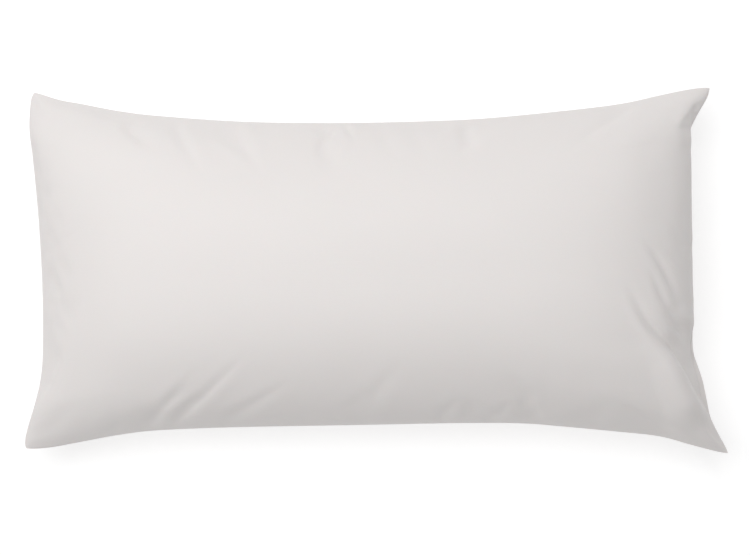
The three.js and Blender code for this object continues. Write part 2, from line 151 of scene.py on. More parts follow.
@dataclass(frozen=True)
class Outline:
    """The filled pillow's seam line seen from above, in mm: chosen points on each side, tip to tip."""

    rear: Points = (
        (-385, 202), (-355, 190.8), (-328, 185.5), (-284, 177), (-239, 171.5), (-150, 165.3),
        (-62, 163.7), (27, 164.8), (116, 168.4), (205, 176.8), (271, 185), (316, 194.8),
        (345, 201), (376, 206),
    )
    front: Points = (
        (-395, -201), (-361, -197), (-328, -190.8), (-284, -182.6), (-239, -177.4), (-150, -173.9),
        (-17, -171.5), (94, -169.4), (160, -169.7), (205, -173), (271, -179.3), (316, -184.5),
        (351, -194), (397, -206.5),
    )
    closed: Points = (
        (-395, -201), (-388, -177), (-377, -144), (-370.5, -112), (-369, -70), (-370, -10), (-374, 58),
        (-380, 122), (-384.6, 160), (-385, 202),
    )
    zip_front: Points = (
        (351.9, -88.0), (357, -104), (363, -122), (367.5, -143), (372, -162), (381, -180), (397, -206.5),
    )
    zip_rear: Points = (
        (343.3, 137.9), (347.5, 151), (353.5, 164.5), (361.8, 179), (369.8, 192), (376, 206),
    )

    def along(self, points: Points, share: Array, axis: int) -> Array:
        """Places on one side, evenly spaced over its extent along one axis.

        Args:
            points: the side's chosen points.
            share: 0 at its first tip, 1 at its last, for each place.
            axis: 0 for a long side, 1 for an end.

        Returns:
            The places' (x, y), one a row.
        """
        line = spline(points, 24)
        at = mix(line[0, axis], line[-1, axis], share)
        order = np.argsort(line[:, axis], kind="stable")
        other = np.interp(at, line[order, axis], line[order, 1 - axis])
        return np.stack([at, other] if axis == 0 else [other, at], axis=-1)

    def zip_side(self) -> Points:
        """The zip end's points: the front ear, the zip's straight run and the rear ear.

        Returns:
            The points, from the front tip to the rear one.
        """
        low, high = self.zip_front[0], self.zip_rear[0]
        shares = (0.1, 0.3, 0.5, 0.7, 0.9)
        straight = tuple((mix(low[0], high[0], k), mix(low[1], high[1], k)) for k in shares)
        return (*reversed(self.zip_front), *straight, *self.zip_rear)

    def plan(self, s: Array, t: Array) -> Array:
        """Points of the plan blended from the four sides.

        Args:
            s: -1 at the closed end, 1 at the zip end.
            t: -1 at the front seam, 1 at the rear seam.

        Returns:
            An array of (x, y), in mm, shaped as s and t are.
        """
        u, v = (s + 1) / 2, (t + 1) / 2
        rear, front = self.along(self.rear, u, 0), self.along(self.front, u, 0)
        closed, zipped = self.along(self.closed, v, 1), self.along(self.zip_side(), v, 1)
        u, v = u[..., None], v[..., None]
        tips = self.front[0], self.front[-1], self.rear[0], self.rear[-1]
        corner = [np.array(tip, float) for tip in tips]
        corners = mix(mix(corner[0], corner[1], u), mix(corner[2], corner[3], u), v)
        return mix(front, rear, v) + mix(closed, zipped, u) - corners


@dataclass(frozen=True)
class Fold:
    """A crease: a valley between two low ridges, in mm.

    Args:
        line: its route, from the seam inward.
        depth: the valley's depth.
        width: the valley's half width.
        ridge: the ridges' height as a share of the depth.
        lean: how much gentler one side of the valley is than the other.
        step: how much lower the cloth lies on the right of the route than on the left.
        hold: the share of the route along which it keeps its depth.
    """

    line: Points
    depth: float
    width: float
    ridge: float = 0.35
    lean: float = 0.0
    step: float = 0.0
    hold: float = 0.3


@dataclass
class Form:
    """The filled pillow's skin: two grids of points, in metres, that share the seam line.

    Args:
        outline: the seam line seen from above.
        cut: the flat cloth's length and width.
        half_plan: half the filled length and width, for the arcs along the crown.
        height: the crown's height above the floor.
        seam: the seam's height, away from the corners.
        belly: how far the underside would hang below the floor before it is pressed flat.
        corner_drop: how much lower the corners lie than the seam, from corner_from outwards.
        cells: the grids' cells along and across.
        across_power, across_lift: the crown's form across the pillow.
        along_power, closed_end_lift, zip_end_lift: its form along the pillow.
        profile_points: how finely the crown's arcs are measured.
        tip_round: how much the tips are drawn in, with a share for each end and for the long sides.
        tip_powers: how close to the tips that stays, on the ends and on the long sides.
        bulge: how far the filling bulges out over the zip's seam.
        bulge_reach, bulge_skew: how far inland the bulge goes, and where it is greatest.
        bulge_middle, bulge_slope, bulge_limits: its share at the middle, its growth to the rear, its limits.
        bulge_fade: how far past the slot's front and rear ends it fades out.
        bulge_under: the underside's bulge as a share of the other's.
        held_edge: the strip beside the seam in which the simulation moves the cloth less.
        pucker_fade: where, from the seam, the simulation's puckers fade out.
        broad_passes: how much smoothing takes its puckers away and leaves its broad swelling.
    """

    outline: Outline = field(default_factory=Outline)
    cut: tuple[float, float] = (0.8, 0.4)
    half_plan: tuple[float, float] = (0.36, 0.168)
    height: float = 0.165
    seam: float = 0.072
    belly: float = 0.02
    corner_drop: float = 0.014
    cells: tuple[int, int] = (136, 68)
    across_power: float = 2.5
    across_lift: float = 0.73
    along_power: float = 5.5
    closed_end_lift: float = 0.72
    zip_end_lift: float = 0.55
    profile_points: int = 4001
    corner_from: float = 0.7
    tip_round: float = 0.007
    closed_tips: float = 1.7
    zip_tips: float = 0.8
    tip_sides: float = 1.4
    tip_powers: tuple[int, int] = (34, 60)
    bulge: float = 0.009
    bulge_reach: float = 0.08
    bulge_skew: float = 0.6
    bulge_middle: float = 0.63
    bulge_slope: float = 3.7
    bulge_limits: tuple[float, float] = (0.25, 1.45)
    bulge_fade: tuple[float, float] = (0.02, 0.026)
    bulge_under: float = 0.6
    held_edge: float = 0.03
    pucker_fade: tuple[float, float] = (0.045, 0.1)
    broad_passes: int = 60

    def places(self) -> tuple[Array, Array, Array, Array]:
        """Where each point of the cut cloth lies on the filled pillow.

        Returns:
            The cut's u and v in -1..1, and the filled pillow's s and t, as grids.
        """
        u, v = (np.linspace(-1, 1, n + 1) for n in self.cells)
        fine = np.linspace(-1, 1, self.profile_points)
        (half_length, half_width), rise = self.half_plan, self.height - self.seam
        profiles = (
            (u, half_length * fine, rise * self.along_crown(fine)),
            (v, half_width * fine, rise * self.across_crown(fine)),
        )
        found = []
        for even, flat, high in profiles:
            arc = np.concatenate([[0], np.cumsum(np.hypot(np.diff(flat), np.diff(high)))])
            found.append(np.interp(even, 2 * arc / arc[-1] - 1, fine))
        s, t = np.meshgrid(*found, indexing="ij")
        grid_u, grid_v = np.meshgrid(u, v, indexing="ij")
        return grid_u, grid_v, s, t

    def across_crown(self, t: Array) -> Array:
        """The crown's share of its height across the pillow."""
        return (1 - np.abs(t) ** self.across_power) ** self.across_lift

    def along_crown(self, s: Array) -> Array:
        """The crown's share of its height along the pillow."""
        lift = np.where(s > 0, self.zip_end_lift, self.closed_end_lift)
        return (1 - np.abs(s) ** self.along_power) ** lift

    def target(self) -> tuple[Array, Array]:
        """The filled shape that the cloth is inflated into.

        Returns:
            The sleeping side's and the underside's points, in metres.
        """
        u, v, s, t = self.places()
        end_power, side_power = self.tip_powers
        tips = np.where(s < 0, self.closed_tips, self.zip_tips)
        round_s = s * (1 - self.tip_round * tips * np.abs(t) ** end_power)
        round_t = t * (1 - self.tip_round * self.tip_sides * np.abs(s) ** side_power)
        plan = self.outline.plan(round_s, round_t) * MM
        crown = self.across_crown(t) * self.along_crown(s)
        seam = self.seam - self.corner_drop * s**4 * smoothstep(np.abs(t), self.corner_from, 1)
        from_zip_end = (1 - u) * self.cut[0] / 2
        rim = plan[-1, :, 1]
        share = np.clip(self.bulge_middle + self.bulge_slope * rim, *self.bulge_limits)
        inland = np.clip(from_zip_end / self.bulge_reach, 0, 1)
        over = (self.bulge * share * self.at_zip(rim))[None] * np.sin(np.pi * inland**self.bulge_skew) ** 2
        faces = []
        for side, rise in ((1, self.height - self.seam), (-1, self.seam + self.belly)):
            x = plan[..., 0] + over * (1 if side > 0 else self.bulge_under)
            faces.append(np.stack([x, plan[..., 1], seam + side * rise * crown], axis=-1))
        return faces[0], faces[1]

    def at_zip(self, y: Array) -> Array:
        """1 along the zip's slot, fading to 0 past its ends.

        Args:
            y: places along the zip end, in metres.

        Returns:
            The share at each place.
        """
        low, high = self.outline.zip_front[0][1] * MM, self.outline.zip_rear[0][1] * MM
        front_fade, rear_fade = self.bulge_fade
        return smoothstep(y, low - front_fade, low) * (1 - smoothstep(y, high, high + rear_fade))

    def flat_cut(self) -> Array:
        """The uncut cloth's points, flat, in metres: what the weave keeps to."""
        u, v, _, _ = self.places()
        return np.stack([u * self.cut[0] / 2, v * self.cut[1] / 2, 0 * u], axis=-1)

    def inflated(self, cap: float = 0.0025, swell: float = 0.25) -> tuple[Array, Array]:
        """The target shape after a cloth simulation with the cut's real lengths and air pressure inside.

        The seam line keeps its outline. The simulation's small puckers near it are kept whole, and of its
        broad swelling only a share of the rise.

        Args:
            cap: how far a pucker may move a point, in metres.
            swell: how much of the broad rise is kept.

        Returns:
            The sleeping side's and the underside's points.
        """
        top, bottom = self.target()
        u, v, _, _ = self.places()
        edge = np.minimum((1 - np.abs(u)) * self.cut[0], (1 - np.abs(v)) * self.cut[1]) / 2
        free = smoothstep(edge, 0, self.held_edge)[..., None]
        by_seam = free * (1 - smoothstep(edge, *self.pucker_fade))[..., None]
        found = []
        for filled, moved in zip((top, bottom), simulate_closed(top, bottom, self.flat_cut())):
            move = moved - filled
            broad = blurred(move, self.broad_passes)
            rise = broad * free * (0, 0, swell)
            found.append(filled + rise + capped(blurred(move - broad, 2), cap) * by_seam)
        return found[0], found[1]


def capped(move: Array, cap: float) -> Array:
    """Moves shortened smoothly so that none is longer than cap."""
    length = np.linalg.norm(move, axis=-1, keepdims=True)
    return move * np.where(length > 1e-9, cap * np.tanh(length / cap) / np.maximum(length, 1e-9), 1)


def closed_indices(shape: tuple[int, int]) -> tuple[Array, Array]:
    """Vertex numbers of two faces that share their border.

    Args:
        shape: the grids' rows and columns.

    Returns:
        The numbers of the first face's points and of the second's.
    """
    first = np.arange(shape[0] * shape[1]).reshape(shape)
    second = first.copy()
    inner = np.arange((shape[0] - 2) * (shape[1] - 2)).reshape(shape[0] - 2, shape[1] - 2)
    second[1:-1, 1:-1] = inner + first.size
    return first, second


def quads(index: Array, flip: bool) -> Array:
    """Four-cornered faces over a grid of vertex numbers."""
    q = np.stack([index[:-1, :-1], index[1:, :-1], index[1:, 1:], index[:-1, 1:]], axis=-1).reshape(-1, 4)
    return q[:, ::-1] if flip else q


def simulate_closed(top: Array, bottom: Array, cut: Array, frames: int = 24) -> tuple[Array, Array]:
    """Inflates two faces sewn round their border, as cloth.

    Args:
        top: the first face's points.
        bottom: the second face's points, with the same border.
        cut: the flat cloth's points, which give the threads' rest lengths.
        frames: how long the simulation runs.

    Returns:
        Both faces' points after it.
    """
    first, second = closed_indices(top.shape[:2])
    count = second.max() + 1
    start = np.zeros((count, 3))
    rest = np.zeros((count, 3))
    for index, points in ((second, bottom), (first, top)):
        start[index.ravel()] = points.reshape(-1, 3)
        rest[index.ravel()] = cut.reshape(-1, 3)
    mesh = bpy.data.meshes.new("cloth_run")
    mesh.from_pydata(start.tolist(), [], np.vstack([quads(first, False), quads(second, True)]).tolist())
    body = bpy.data.objects.new("cloth_run", mesh)
    bpy.context.scene.collection.objects.link(body)
    body.shape_key_add(name="filled")
    flat = body.shape_key_add(name="flat")
    flat.data.foreach_set("co", rest.ravel())
    cloth = body.modifiers.new("cloth", "CLOTH")
    settings = cloth.settings
    settings.quality = 6
    settings.mass = 0.15
    settings.tension_stiffness = settings.compression_stiffness = 30
    settings.shear_stiffness = 12
    settings.bending_stiffness = 0.6
    settings.air_damping = 4
    settings.rest_shape_key = body.data.shape_keys.key_blocks["flat"]
    settings.use_pressure = True
    settings.uniform_pressure_force = 4
    settings.effector_weights.gravity = 0
    cloth.collision_settings.use_collision = False
    cloth.point_cache.frame_start, cloth.point_cache.frame_end = 1, frames
    scene = bpy.context.scene
    for number in range(1, frames + 1):
        scene.frame_set(number)
    shaped = body.evaluated_get(bpy.context.evaluated_depsgraph_get()).to_mesh()
    found = np.empty(count * 3)
    shaped.vertices.foreach_get("co", found)
    found = found.reshape(-1, 3)
    scene.frame_set(1)
    bpy.data.objects.remove(body)
    bpy.data.meshes.remove(mesh)
    return found[first], found[second]


# ---- from the filled shape to the finished skin --------------------------------------------------


# each crease runs from the seam inward
FOLDS = (
    Fold(((-227, 170), (-218, 150), (-206, 130), (-188, 100)), 1.5, 7),
    Fold(((-163, 164), (-150, 144), (-136, 124), (-122, 100)), 1.2, 7),
    Fold(((-36, 164), (-29, 154), (-22, 140)), 1.0, 4),
    Fold(((0, 162), (12, 143), (28, 118)), 0.6, 7),
    Fold(((42, 164), (50, 140), (66, 114)), 0.5, 8),
    Fold(((94, 168), (101, 150), (116, 122)), 0.6, 8),
    Fold(((-260, -180), (-240, -158), (-216, -130), (-192, -104)), 1.3, 6),
    Fold(((-240, -180), (-217, -164), (-190, -140), (-162, -112), (-136, -86)), 1.6, 6, lean=0.3),
    Fold(((-180, -172), (-148, -156), (-112, -134), (-88, -116)), 1.3, 6),
    Fold(((-150, -175), (-122, -170), (-88, -160)), 0.9, 5),
    Fold(((-34, -170), (-12, -150), (12, -122), (40, -92)), 0.9, 9),
    Fold(((66, -168), (80, -156), (98, -138)), 1.1, 6),
    Fold(((118, -170), (136, -160), (158, -144)), 1.3, 6),
    Fold(((184, -172), (190, -130), (192, -84)), 0.6, 12),
    Fold(((232, -174), (256, -152), (286, -140)), 0.7, 9),
    Fold(
        ((376, -170), (366, -151), (353, -126), (335, -94), (316, -72), (299, -50), (276, -10)),
        3.4, 7, ridge=0.5, lean=0.3, step=14.0, hold=0.6,
    ),
    Fold(((350, -82), (342, -66), (328, -45), (315, -20), (302, 10)), 2.8, 6, ridge=0.3, hold=0.5),
    Fold(((343, -58), (336, -36), (330, -19), (320, 2), (306, 24), (292, 42)), 2.4, 6, ridge=0.3, hold=0.5),
    Fold(((344, 20), (336, 40), (322, 66)), 1.0, 6, ridge=0.3),
    Fold(((350, 154), (353, 166), (355, 178), (357, 192)), 1.5, 3.5, ridge=0.2, step=3.0, hold=0.5),
    Fold(((-376, -50), (-362, -84), (-342, -126)), 0.8, 13),
    Fold(((-388, 150), (-372, 106), (-348, 62)), 0.7, 14),
    Fold(((-384, -190), (-354, -168), (-326, -140)), 0.9, 8),
    Fold(((-380, 192), (-352, 164), (-330, 140)), 0.6, 9),
)


@dataclass(frozen=True)
class Scatter:
    """Creases that run in from the seam, placed by chance, with lengths in mm.

    Args:
        count: how many.
        seed: what the chance is drawn from.
        depth: the deepest one's depth.
        length: the shortest and the longest.
        width: the narrowest and the widest valley's half width.
        turn: how far their headings stray.
        bend: how much they curve.
        ridge: their ridges' height as a share of the depth.
    """

    count: int
    seed: int
    depth: float
    length: tuple[float, float] = (22, 70)
    width: tuple[float, float] = (4.5, 9)
    turn: float = 0.45
    bend: float = 0.12
    ridge: float = 0.4


SLEEPING_PUCKERS = Scatter(70, 5, 0.3)
UNDERSIDE_CREASES = Scatter(34, 11, 3.2)
UNDERSIDE_PUCKERS = Scatter(60, 12, 0.6)

# a crease's cross-section, in half widths of its valley
FOLD_REACH = 7
RIDGE_PLACE, RIDGE_SPREAD = 1.9, 1.1
STEP_STEEPNESS = 1.4
STEP_FADE = (2.2, 6)
# along a crease, in shares of its route
FOLD_START = 0.2
FOLD_WIDTHS = (1.25, 0.65)
STEP_END = (0.25, 0.8)
# beside the seam, where the folds fade out, in metres
SEAM_STRIP = 0.007


def fold_offsets(place: Array, folds: tuple[Fold, ...]) -> Array:
    """How far the folds lift or lower each place, in metres.

    Args:
        place: (x, y) places, in metres, as a grid.
        folds: the creases.

    Returns:
        The offsets, shaped as the grid.
    """
    offset = np.zeros(place.shape[:-1])
    for fold in folds:
        line = spline(fold.line, 6) * MM
        width, depth = fold.width * MM, fold.depth * MM
        reach = FOLD_REACH * width
        near = np.all((place > line.min(0) - reach) & (place < line.max(0) + reach), axis=-1)
        if not near.any():
            continue
        p = place[near]
        run = length_along(line)
        best, along, signed = np.full(len(p), 1e9), np.zeros(len(p)), np.zeros(len(p))
        for a, b, start in zip(line, line[1:], run):
            way = b - a
            length = max(np.linalg.norm(way), 1e-9)
            k = np.clip((p - a) @ way / length**2, 0, 1)
            gap = p - a - k[:, None] * way
            distance = np.linalg.norm(gap, axis=1)
            closer = distance < best
            best[closer] = distance[closer]
            along[closer] = ((start + k * length) / run[-1])[closer]
            signed[closer] = np.sign(way[0] * gap[:, 1] - way[1] * gap[:, 0])[closer]
        taper = smoothstep(along, 0, FOLD_START) * (1 - smoothstep(along, fold.hold, 1))
        d = best * signed / (width * mix(*FOLD_WIDTHS, along))
        valley = np.exp(-((d / np.where(d > 0, 1 + fold.lean, 1 - fold.lean)) ** 2))
        ridges = sum(np.exp(-(((d - at) / RIDGE_SPREAD) ** 2)) for at in (RIDGE_PLACE, -RIDGE_PLACE))
        beside, inland = smoothstep(np.abs(d), *STEP_FADE), smoothstep(along, *STEP_END)
        cliff = np.tanh(STEP_STEEPNESS * d) * (1 - beside) * (1 - inland)
        offset[near] += taper * (depth * (fold.ridge * ridges - valley) + cliff * fold.step / 2 * MM)
    return offset


def seen_from_above(grid: Array, level: float) -> Array:
    """Where points appear on a level plane, looked at from the view's height above it."""
    return grid[..., :2] * (VIEW_HEIGHT / (VIEW_HEIGHT - (grid[..., 2:] - level)))


def scattered_folds(outline: Outline, scatter: Scatter) -> tuple[Fold, ...]:
    """Creases that run in from the seam, placed by chance.

    Args:
        outline: the seam line.
        scatter: how many and of what sizes.

    Returns:
        The creases.
    """
    chance = np.random.default_rng(scatter.seed)
    made = []
    for number in range(scatter.count):
        share = (number + chance.uniform(0.15, 0.85)) / scatter.count * 2 * math.pi
        s, t = math.cos(share), math.sin(share)
        big = max(abs(s), abs(t))
        edge = np.array([s / big, t / big]) * 0.995
        length = chance.uniform(*scatter.length)
        heading = np.array([-edge[0] * 0.7, -edge[1]]) + chance.normal(0, scatter.turn, 2)
        heading /= np.linalg.norm(heading)
        start = outline.plan(*(np.array([[e]]) for e in edge))[0, 0]
        bend = np.array([-heading[1], heading[0]]) * chance.normal(0, scatter.bend)
        points = [start + length * (k * heading + k * (1 - k) * bend) for k in (-0.05, 0.35, 0.7, 1)]
        strength = scatter.depth * chance.uniform(0.35, 1)
        width = chance.uniform(*scatter.width)
        made.append(Fold(tuple(map(tuple, points)), strength, width, scatter.ridge))
    return tuple(made)


@dataclass
class Skin:
    """The case's outside: both faces' points and the cut cloth's coordinates, as grids."""

    top: Array
    bottom: Array
    u: Array
    v: Array
    form: Form
    soft_top: Array
    soft_bottom: Array

    @classmethod
    def made_from(cls, form: Form) -> "Skin":
        """Inflates the form, refines it and puts its folds in.

        Args:
            form: the filled pillow's form.

        Returns:
            The case's outside.
        """
        top, bottom = form.inflated()
        u, v, _, _ = form.places()
        layers = [top, bottom, u, v]
        for _ in range(2):
            layers = [finer(finer(layer, 0), 1) for layer in layers]
        top, bottom, u, v = layers
        soft_top, soft_bottom = top.copy(), rested(bottom)
        edge = np.minimum((1 - np.abs(u)) * form.cut[0], (1 - np.abs(v)) * form.cut[1]) / 2
        free = smoothstep(edge, 0, SEAM_STRIP)
        puckers = scattered_folds(form.outline, SLEEPING_PUCKERS)
        lift = fold_offsets(seen_from_above(top, form.seam), FOLDS + puckers) * free
        top = top + normals_of(blurred(top, 4), 1) * lift[..., None]
        under = scattered_folds(form.outline, UNDERSIDE_CREASES)
        under += scattered_folds(form.outline, UNDERSIDE_PUCKERS)
        sink = fold_offsets(bottom[..., :2], under) * free
        bottom = rested(bottom + normals_of(blurred(bottom, 4), -1) * sink[..., None])
        return cls(top, bottom, u, v, form, soft_top, soft_bottom)

    def face(self, side: Side) -> Array:
        """The points of one face."""
        return self.top if side is Side.SLEEPING else self.bottom


def rested(grid: Array, softness: float = 0.004) -> Array:
    """A face pressed flat where it would sink below the floor.

    Args:
        grid: the face's points.
        softness: how softly it meets the floor, in metres.

    Returns:
        The pressed points.
    """
    g = grid.copy()
    g[..., 2] = 0.5 * (g[..., 2] + np.sqrt(g[..., 2] ** 2 + softness**2))
    return g


def sample(grid: Array, u: Array, v: Array) -> Array:
    """Values of a grid at places given by u and v in -1..1, blended from the four nearest.

    Args:
        grid: the values.
        u: the places' first coordinate.
        v: their second.

    Returns:
        The values, shaped as u and v are.
    """
    rows, columns = grid.shape[0] - 1, grid.shape[1] - 1
    i, j = np.clip((u + 1) / 2 * rows, 0, rows), np.clip((v + 1) / 2 * columns, 0, columns)
    a, b = np.minimum(i.astype(int), rows - 1), np.minimum(j.astype(int), columns - 1)
    k, m = (i - a)[..., None], (j - b)[..., None]
    low = mix(grid[a, b], grid[a, b + 1], m)
    return mix(low, mix(grid[a + 1, b], grid[a + 1, b + 1], m), k)


# ---- solids from points --------------------------------------------------------------------------


@dataclass
class Solid:
    """Points and faces of one piece, with the cut's coordinates for its points where it is cloth."""

    points: Array
    faces: list[Array]
    cut: Array | None = None


@dataclass(frozen=True)
class Edge:
    """How a panel's edge is turned in, in metres, round its border or the same everywhere.

    Args:
        turn: how far it is turned in.
        outer: how far its outer line lies from the seam's middle.
        inner: how far its inner line does.
    """

    turn: Array | float
    outer: Array | float
    inner: Array | float


def border(shape: tuple[int, int]) -> tuple[Array, Array]:
    """Row and column numbers of a grid's border, once round against the clock seen from above.

    Args:
        shape: the grid's rows and columns.

    Returns:
        The row numbers and the column numbers.
    """
    n, m = shape[0] - 1, shape[1] - 1
    i = np.concatenate([np.arange(n), np.full(m, n), np.arange(n, 0, -1), np.zeros(m, int)])
    j = np.concatenate([np.zeros(n, int), np.arange(m), np.full(n, m), np.arange(m, 0, -1)])
    return i, j


def border_sides(shape: tuple[int, int], gap: int) -> list[tuple[int, int]]:
    """Where the four sides start and stop in a border's numbering: front, zip end, rear, closed end.

    Args:
        shape: the grid's rows and columns.
        gap: how many points are left out at each corner.

    Returns:
        The first number of each side and the one after its last.
    """
    n, m = shape[0] - 1, shape[1] - 1
    sides = zip((0, n, n + m, 2 * n + m), (n, m, n, m))
    return [(start + gap, start + size - gap + 1) for start, size in sides]


def inward(loop: Array) -> Array:
    """Level unit vectors that point into a closed loop, run against the clock.

    Args:
        loop: the loop's points.

    Returns:
        One vector for each point.
    """
    way = np.roll(loop, -2, 0) - np.roll(loop, 2, 0)
    found = np.stack([-way[:, 1], way[:, 0], 0 * way[:, 0]], axis=-1)
    for _ in range(3):
        found = found + np.roll(found, 1, 0) + np.roll(found, -1, 0)
    return found / np.maximum(np.linalg.norm(found, axis=1, keepdims=True), 1e-9)


def shell(outer: Array, u: Array, v: Array, side: Side, edge: Edge, thick: float) -> Solid:
    """A cloth panel with its edge turned in.

    Args:
        outer: the panel's outside.
        u: the cut's coordinate along it.
        v: the cut's coordinate across it.
        side: which face of the pillow it is.
        edge: how the edge is turned in, round the border.
        thick: the cloth's thickness.

    Returns:
        The panel as a closed solid.
    """
    sign = side.value
    i, j = border(outer.shape[:2])
    skin = outer.copy()
    lining = outer - normals_of(outer, sign) * thick
    loop = outer[i, j]
    inner = loop + inward(loop) * np.broadcast_to(edge.turn, len(loop))[:, None]
    skin[i, j, 2] = loop[:, 2] + sign * edge.outer
    inner[:, 2] = loop[:, 2] + sign * edge.inner
    lining[i, j] = inner
    index = np.arange(outer.shape[0] * outer.shape[1]).reshape(outer.shape[:2])
    back = index + index.size
    rim, inner_rim = index[i, j], back[i, j]
    wall = np.stack([rim, inner_rim, np.roll(inner_rim, -1), np.roll(rim, -1)], axis=-1)
    wall = wall if sign > 0 else wall[:, ::-1]
    faces = np.vstack([quads(index, sign < 0), quads(back, sign > 0), wall])
    points = np.vstack([skin.reshape(-1, 3), lining.reshape(-1, 3)])
    cut = np.stack([u, v], axis=-1).reshape(-1, 2)
    return Solid(points, [faces], np.vstack([cut, cut]))


def closed_body(top: Array, bottom: Array) -> Solid:
    """A solid between two faces that share their border.

    Args:
        top: the upper face's points.
        bottom: the lower face's.

    Returns:
        The solid.
    """
    first, second = closed_indices(top.shape[:2])
    points = np.zeros((second.max() + 1, 3))
    points[second.ravel()] = bottom.reshape(-1, 3)
    points[first.ravel()] = top.reshape(-1, 3)
    return Solid(points, [np.vstack([quads(first, False), quads(second, True)])])


def tubes(lines: Array, radii: Array, up: Array, sides: int = 6) -> Solid:
    """Round bars along several lines of the same number of points.

    Args:
        lines: the lines' points, as (line, point, 3).
        radii: the radius at each point, as (line, point) or one row for all.
        up: a direction across each line, as (line, 3) or one for all.
        sides: how many sides a bar has.

    Returns:
        One solid of all the bars, each with closed ends.
    """
    count, steps, _ = lines.shape
    way = np.gradient(lines, axis=1)
    across = np.cross(way, np.broadcast_to(up, (count, 3))[:, None, :])
    across /= np.maximum(np.linalg.norm(across, axis=-1, keepdims=True), 1e-12)
    rise = np.cross(across, way)
    rise /= np.maximum(np.linalg.norm(rise, axis=-1, keepdims=True), 1e-12)
    angle = np.arange(sides) / sides * 2 * np.pi
    reach = np.broadcast_to(radii, (count, steps))[..., None, None]
    ring = across[:, :, None] * np.cos(angle)[:, None] + rise[:, :, None] * np.sin(angle)[:, None]
    points = (lines[:, :, None] + reach * ring).reshape(-1, 3)
    index = np.arange(count * steps * sides).reshape(count, steps, sides)
    after = np.roll(index, -1, axis=2)
    walls = np.stack([index[:, :-1], after[:, :-1], after[:, 1:], index[:, 1:]], axis=-1).reshape(-1, 4)
    return Solid(points, [walls, index[:, 0, ::-1].reshape(-1, sides), index[:, -1].reshape(-1, sides)])


def even_places(line: Array, pitch: float) -> tuple[Array, Array]:
    """Evenly spaced places on a line and the way it runs there.

    Args:
        line: the line's points.
        pitch: how far apart the places are.

    Returns:
        The places, and a unit vector for each.
    """
    run = length_along(line)
    at = np.arange(pitch / 2, run[-1], pitch)
    place = np.stack([np.interp(at, run, line[:, k]) for k in range(3)], axis=-1)
    ahead = np.stack([np.interp(at + pitch / 4, run, line[:, k]) for k in range(3)], axis=-1)
    way = ahead - place
    return place, way / np.maximum(np.linalg.norm(way, axis=1, keepdims=True), 1e-9)


@dataclass(frozen=True)
class Thread:
    """A row's thread, in metres.

    Args:
        pitch: the length of one stitch and the gap after it.
        thick: the thread's thickness.
        proud: how far a stitch's middle stands out, as a share of the thickness.
    """

    pitch: float
    thick: float
    proud: float = 0.35


# a stitch's five places along its pitch, and the thread's radius there as a share of its thickness
STITCH_PLACES = np.array([-0.41, -0.3, 0, 0.3, 0.41])
STITCH_RADII = np.array([0.3, 0.5, 0.5, 0.5, 0.3])


def stitches(line: Array, out: Array, thread: Thread) -> Solid:
    """A row of stitches along a line.

    Args:
        line: the line's points.
        out: the direction out of the cloth, at each point of the line.
        thread: the row's thread.

    Returns:
        The stitches as one solid.
    """
    place, way = even_places(line, thread.pitch)
    run = length_along(line)
    at = np.arange(thread.pitch / 2, run[-1], thread.pitch)
    facing = np.stack([np.interp(at, run, out[:, k]) for k in range(3)], axis=-1)
    facing /= np.maximum(np.linalg.norm(facing, axis=1, keepdims=True), 1e-9)
    high = thread.proud
    along = STITCH_PLACES * thread.pitch
    height = np.array([-0.6, high - 0.15, high, high - 0.15, -0.6]) * thread.thick
    lines = place[:, None] + way[:, None] * along[:, None] + facing[:, None] * height[:, None]
    return tubes(lines, STITCH_RADII * thread.thick, np.cross(way, facing))


def slab(low: Triple, high: Triple, cells: tuple[int, int, int]) -> Solid:
    """A box with cells on its faces.

    Args:
        low: its lowest corner.
        high: its highest corner.
        cells: how many cells it has along each axis.

    Returns:
        The box.
    """
    axes = [np.linspace(a, b, n + 1) for a, b, n in zip(low, high, cells)]
    points, faces, start = [], [], 0
    for axis in range(3):
        first, second = (axis + 1) % 3, (axis + 2) % 3
        for level, flip in ((low[axis], True), (high[axis], False)):
            a, b = np.meshgrid(axes[first], axes[second], indexing="ij")
            face = np.zeros((*a.shape, 3))
            face[..., axis], face[..., first], face[..., second] = level, a, b
            points.append(face.reshape(-1, 3))
            faces.append(quads(np.arange(a.size).reshape(a.shape) + start, flip))
            start += a.size
    return Solid(np.vstack(points), [np.vstack(faces)])


# ---- finishes ------------------------------------------------------------------------------------


class Surface(Enum):
    """What a piece is made of, by the record's slot names."""

    SATEEN = "sateen"
    TICKING = "ticking"
    THREAD = "thread"
    FIBRE = "fibre"
    ZIP_TAPE = "zip_tape"
    ZIP_COIL = "zip_coil"
    LACQUER = "lacquer"
    LABEL = "label"


@dataclass(frozen=True)
class Finish:
    """One material's look. Sizes are in metres."""

    colour: tuple[float, float, float]
    roughness: float
    sheen: float = 0.0
    specular: float = 0.4
    coat: float = 0.0
    metallic: float = 0.0
    mottle: float = 0.02
    warp_lines: float = 260.0
    weft_lines: float = 260.0
    slub: float = 0.5
    relief: float = 0.00012
    scatter: float = 0.0
    scatter_depth: float = 0.002
    sheen_roughness: float = 0.45
    coat_roughness: float = 0.12
    rough_spread: float = 0.06


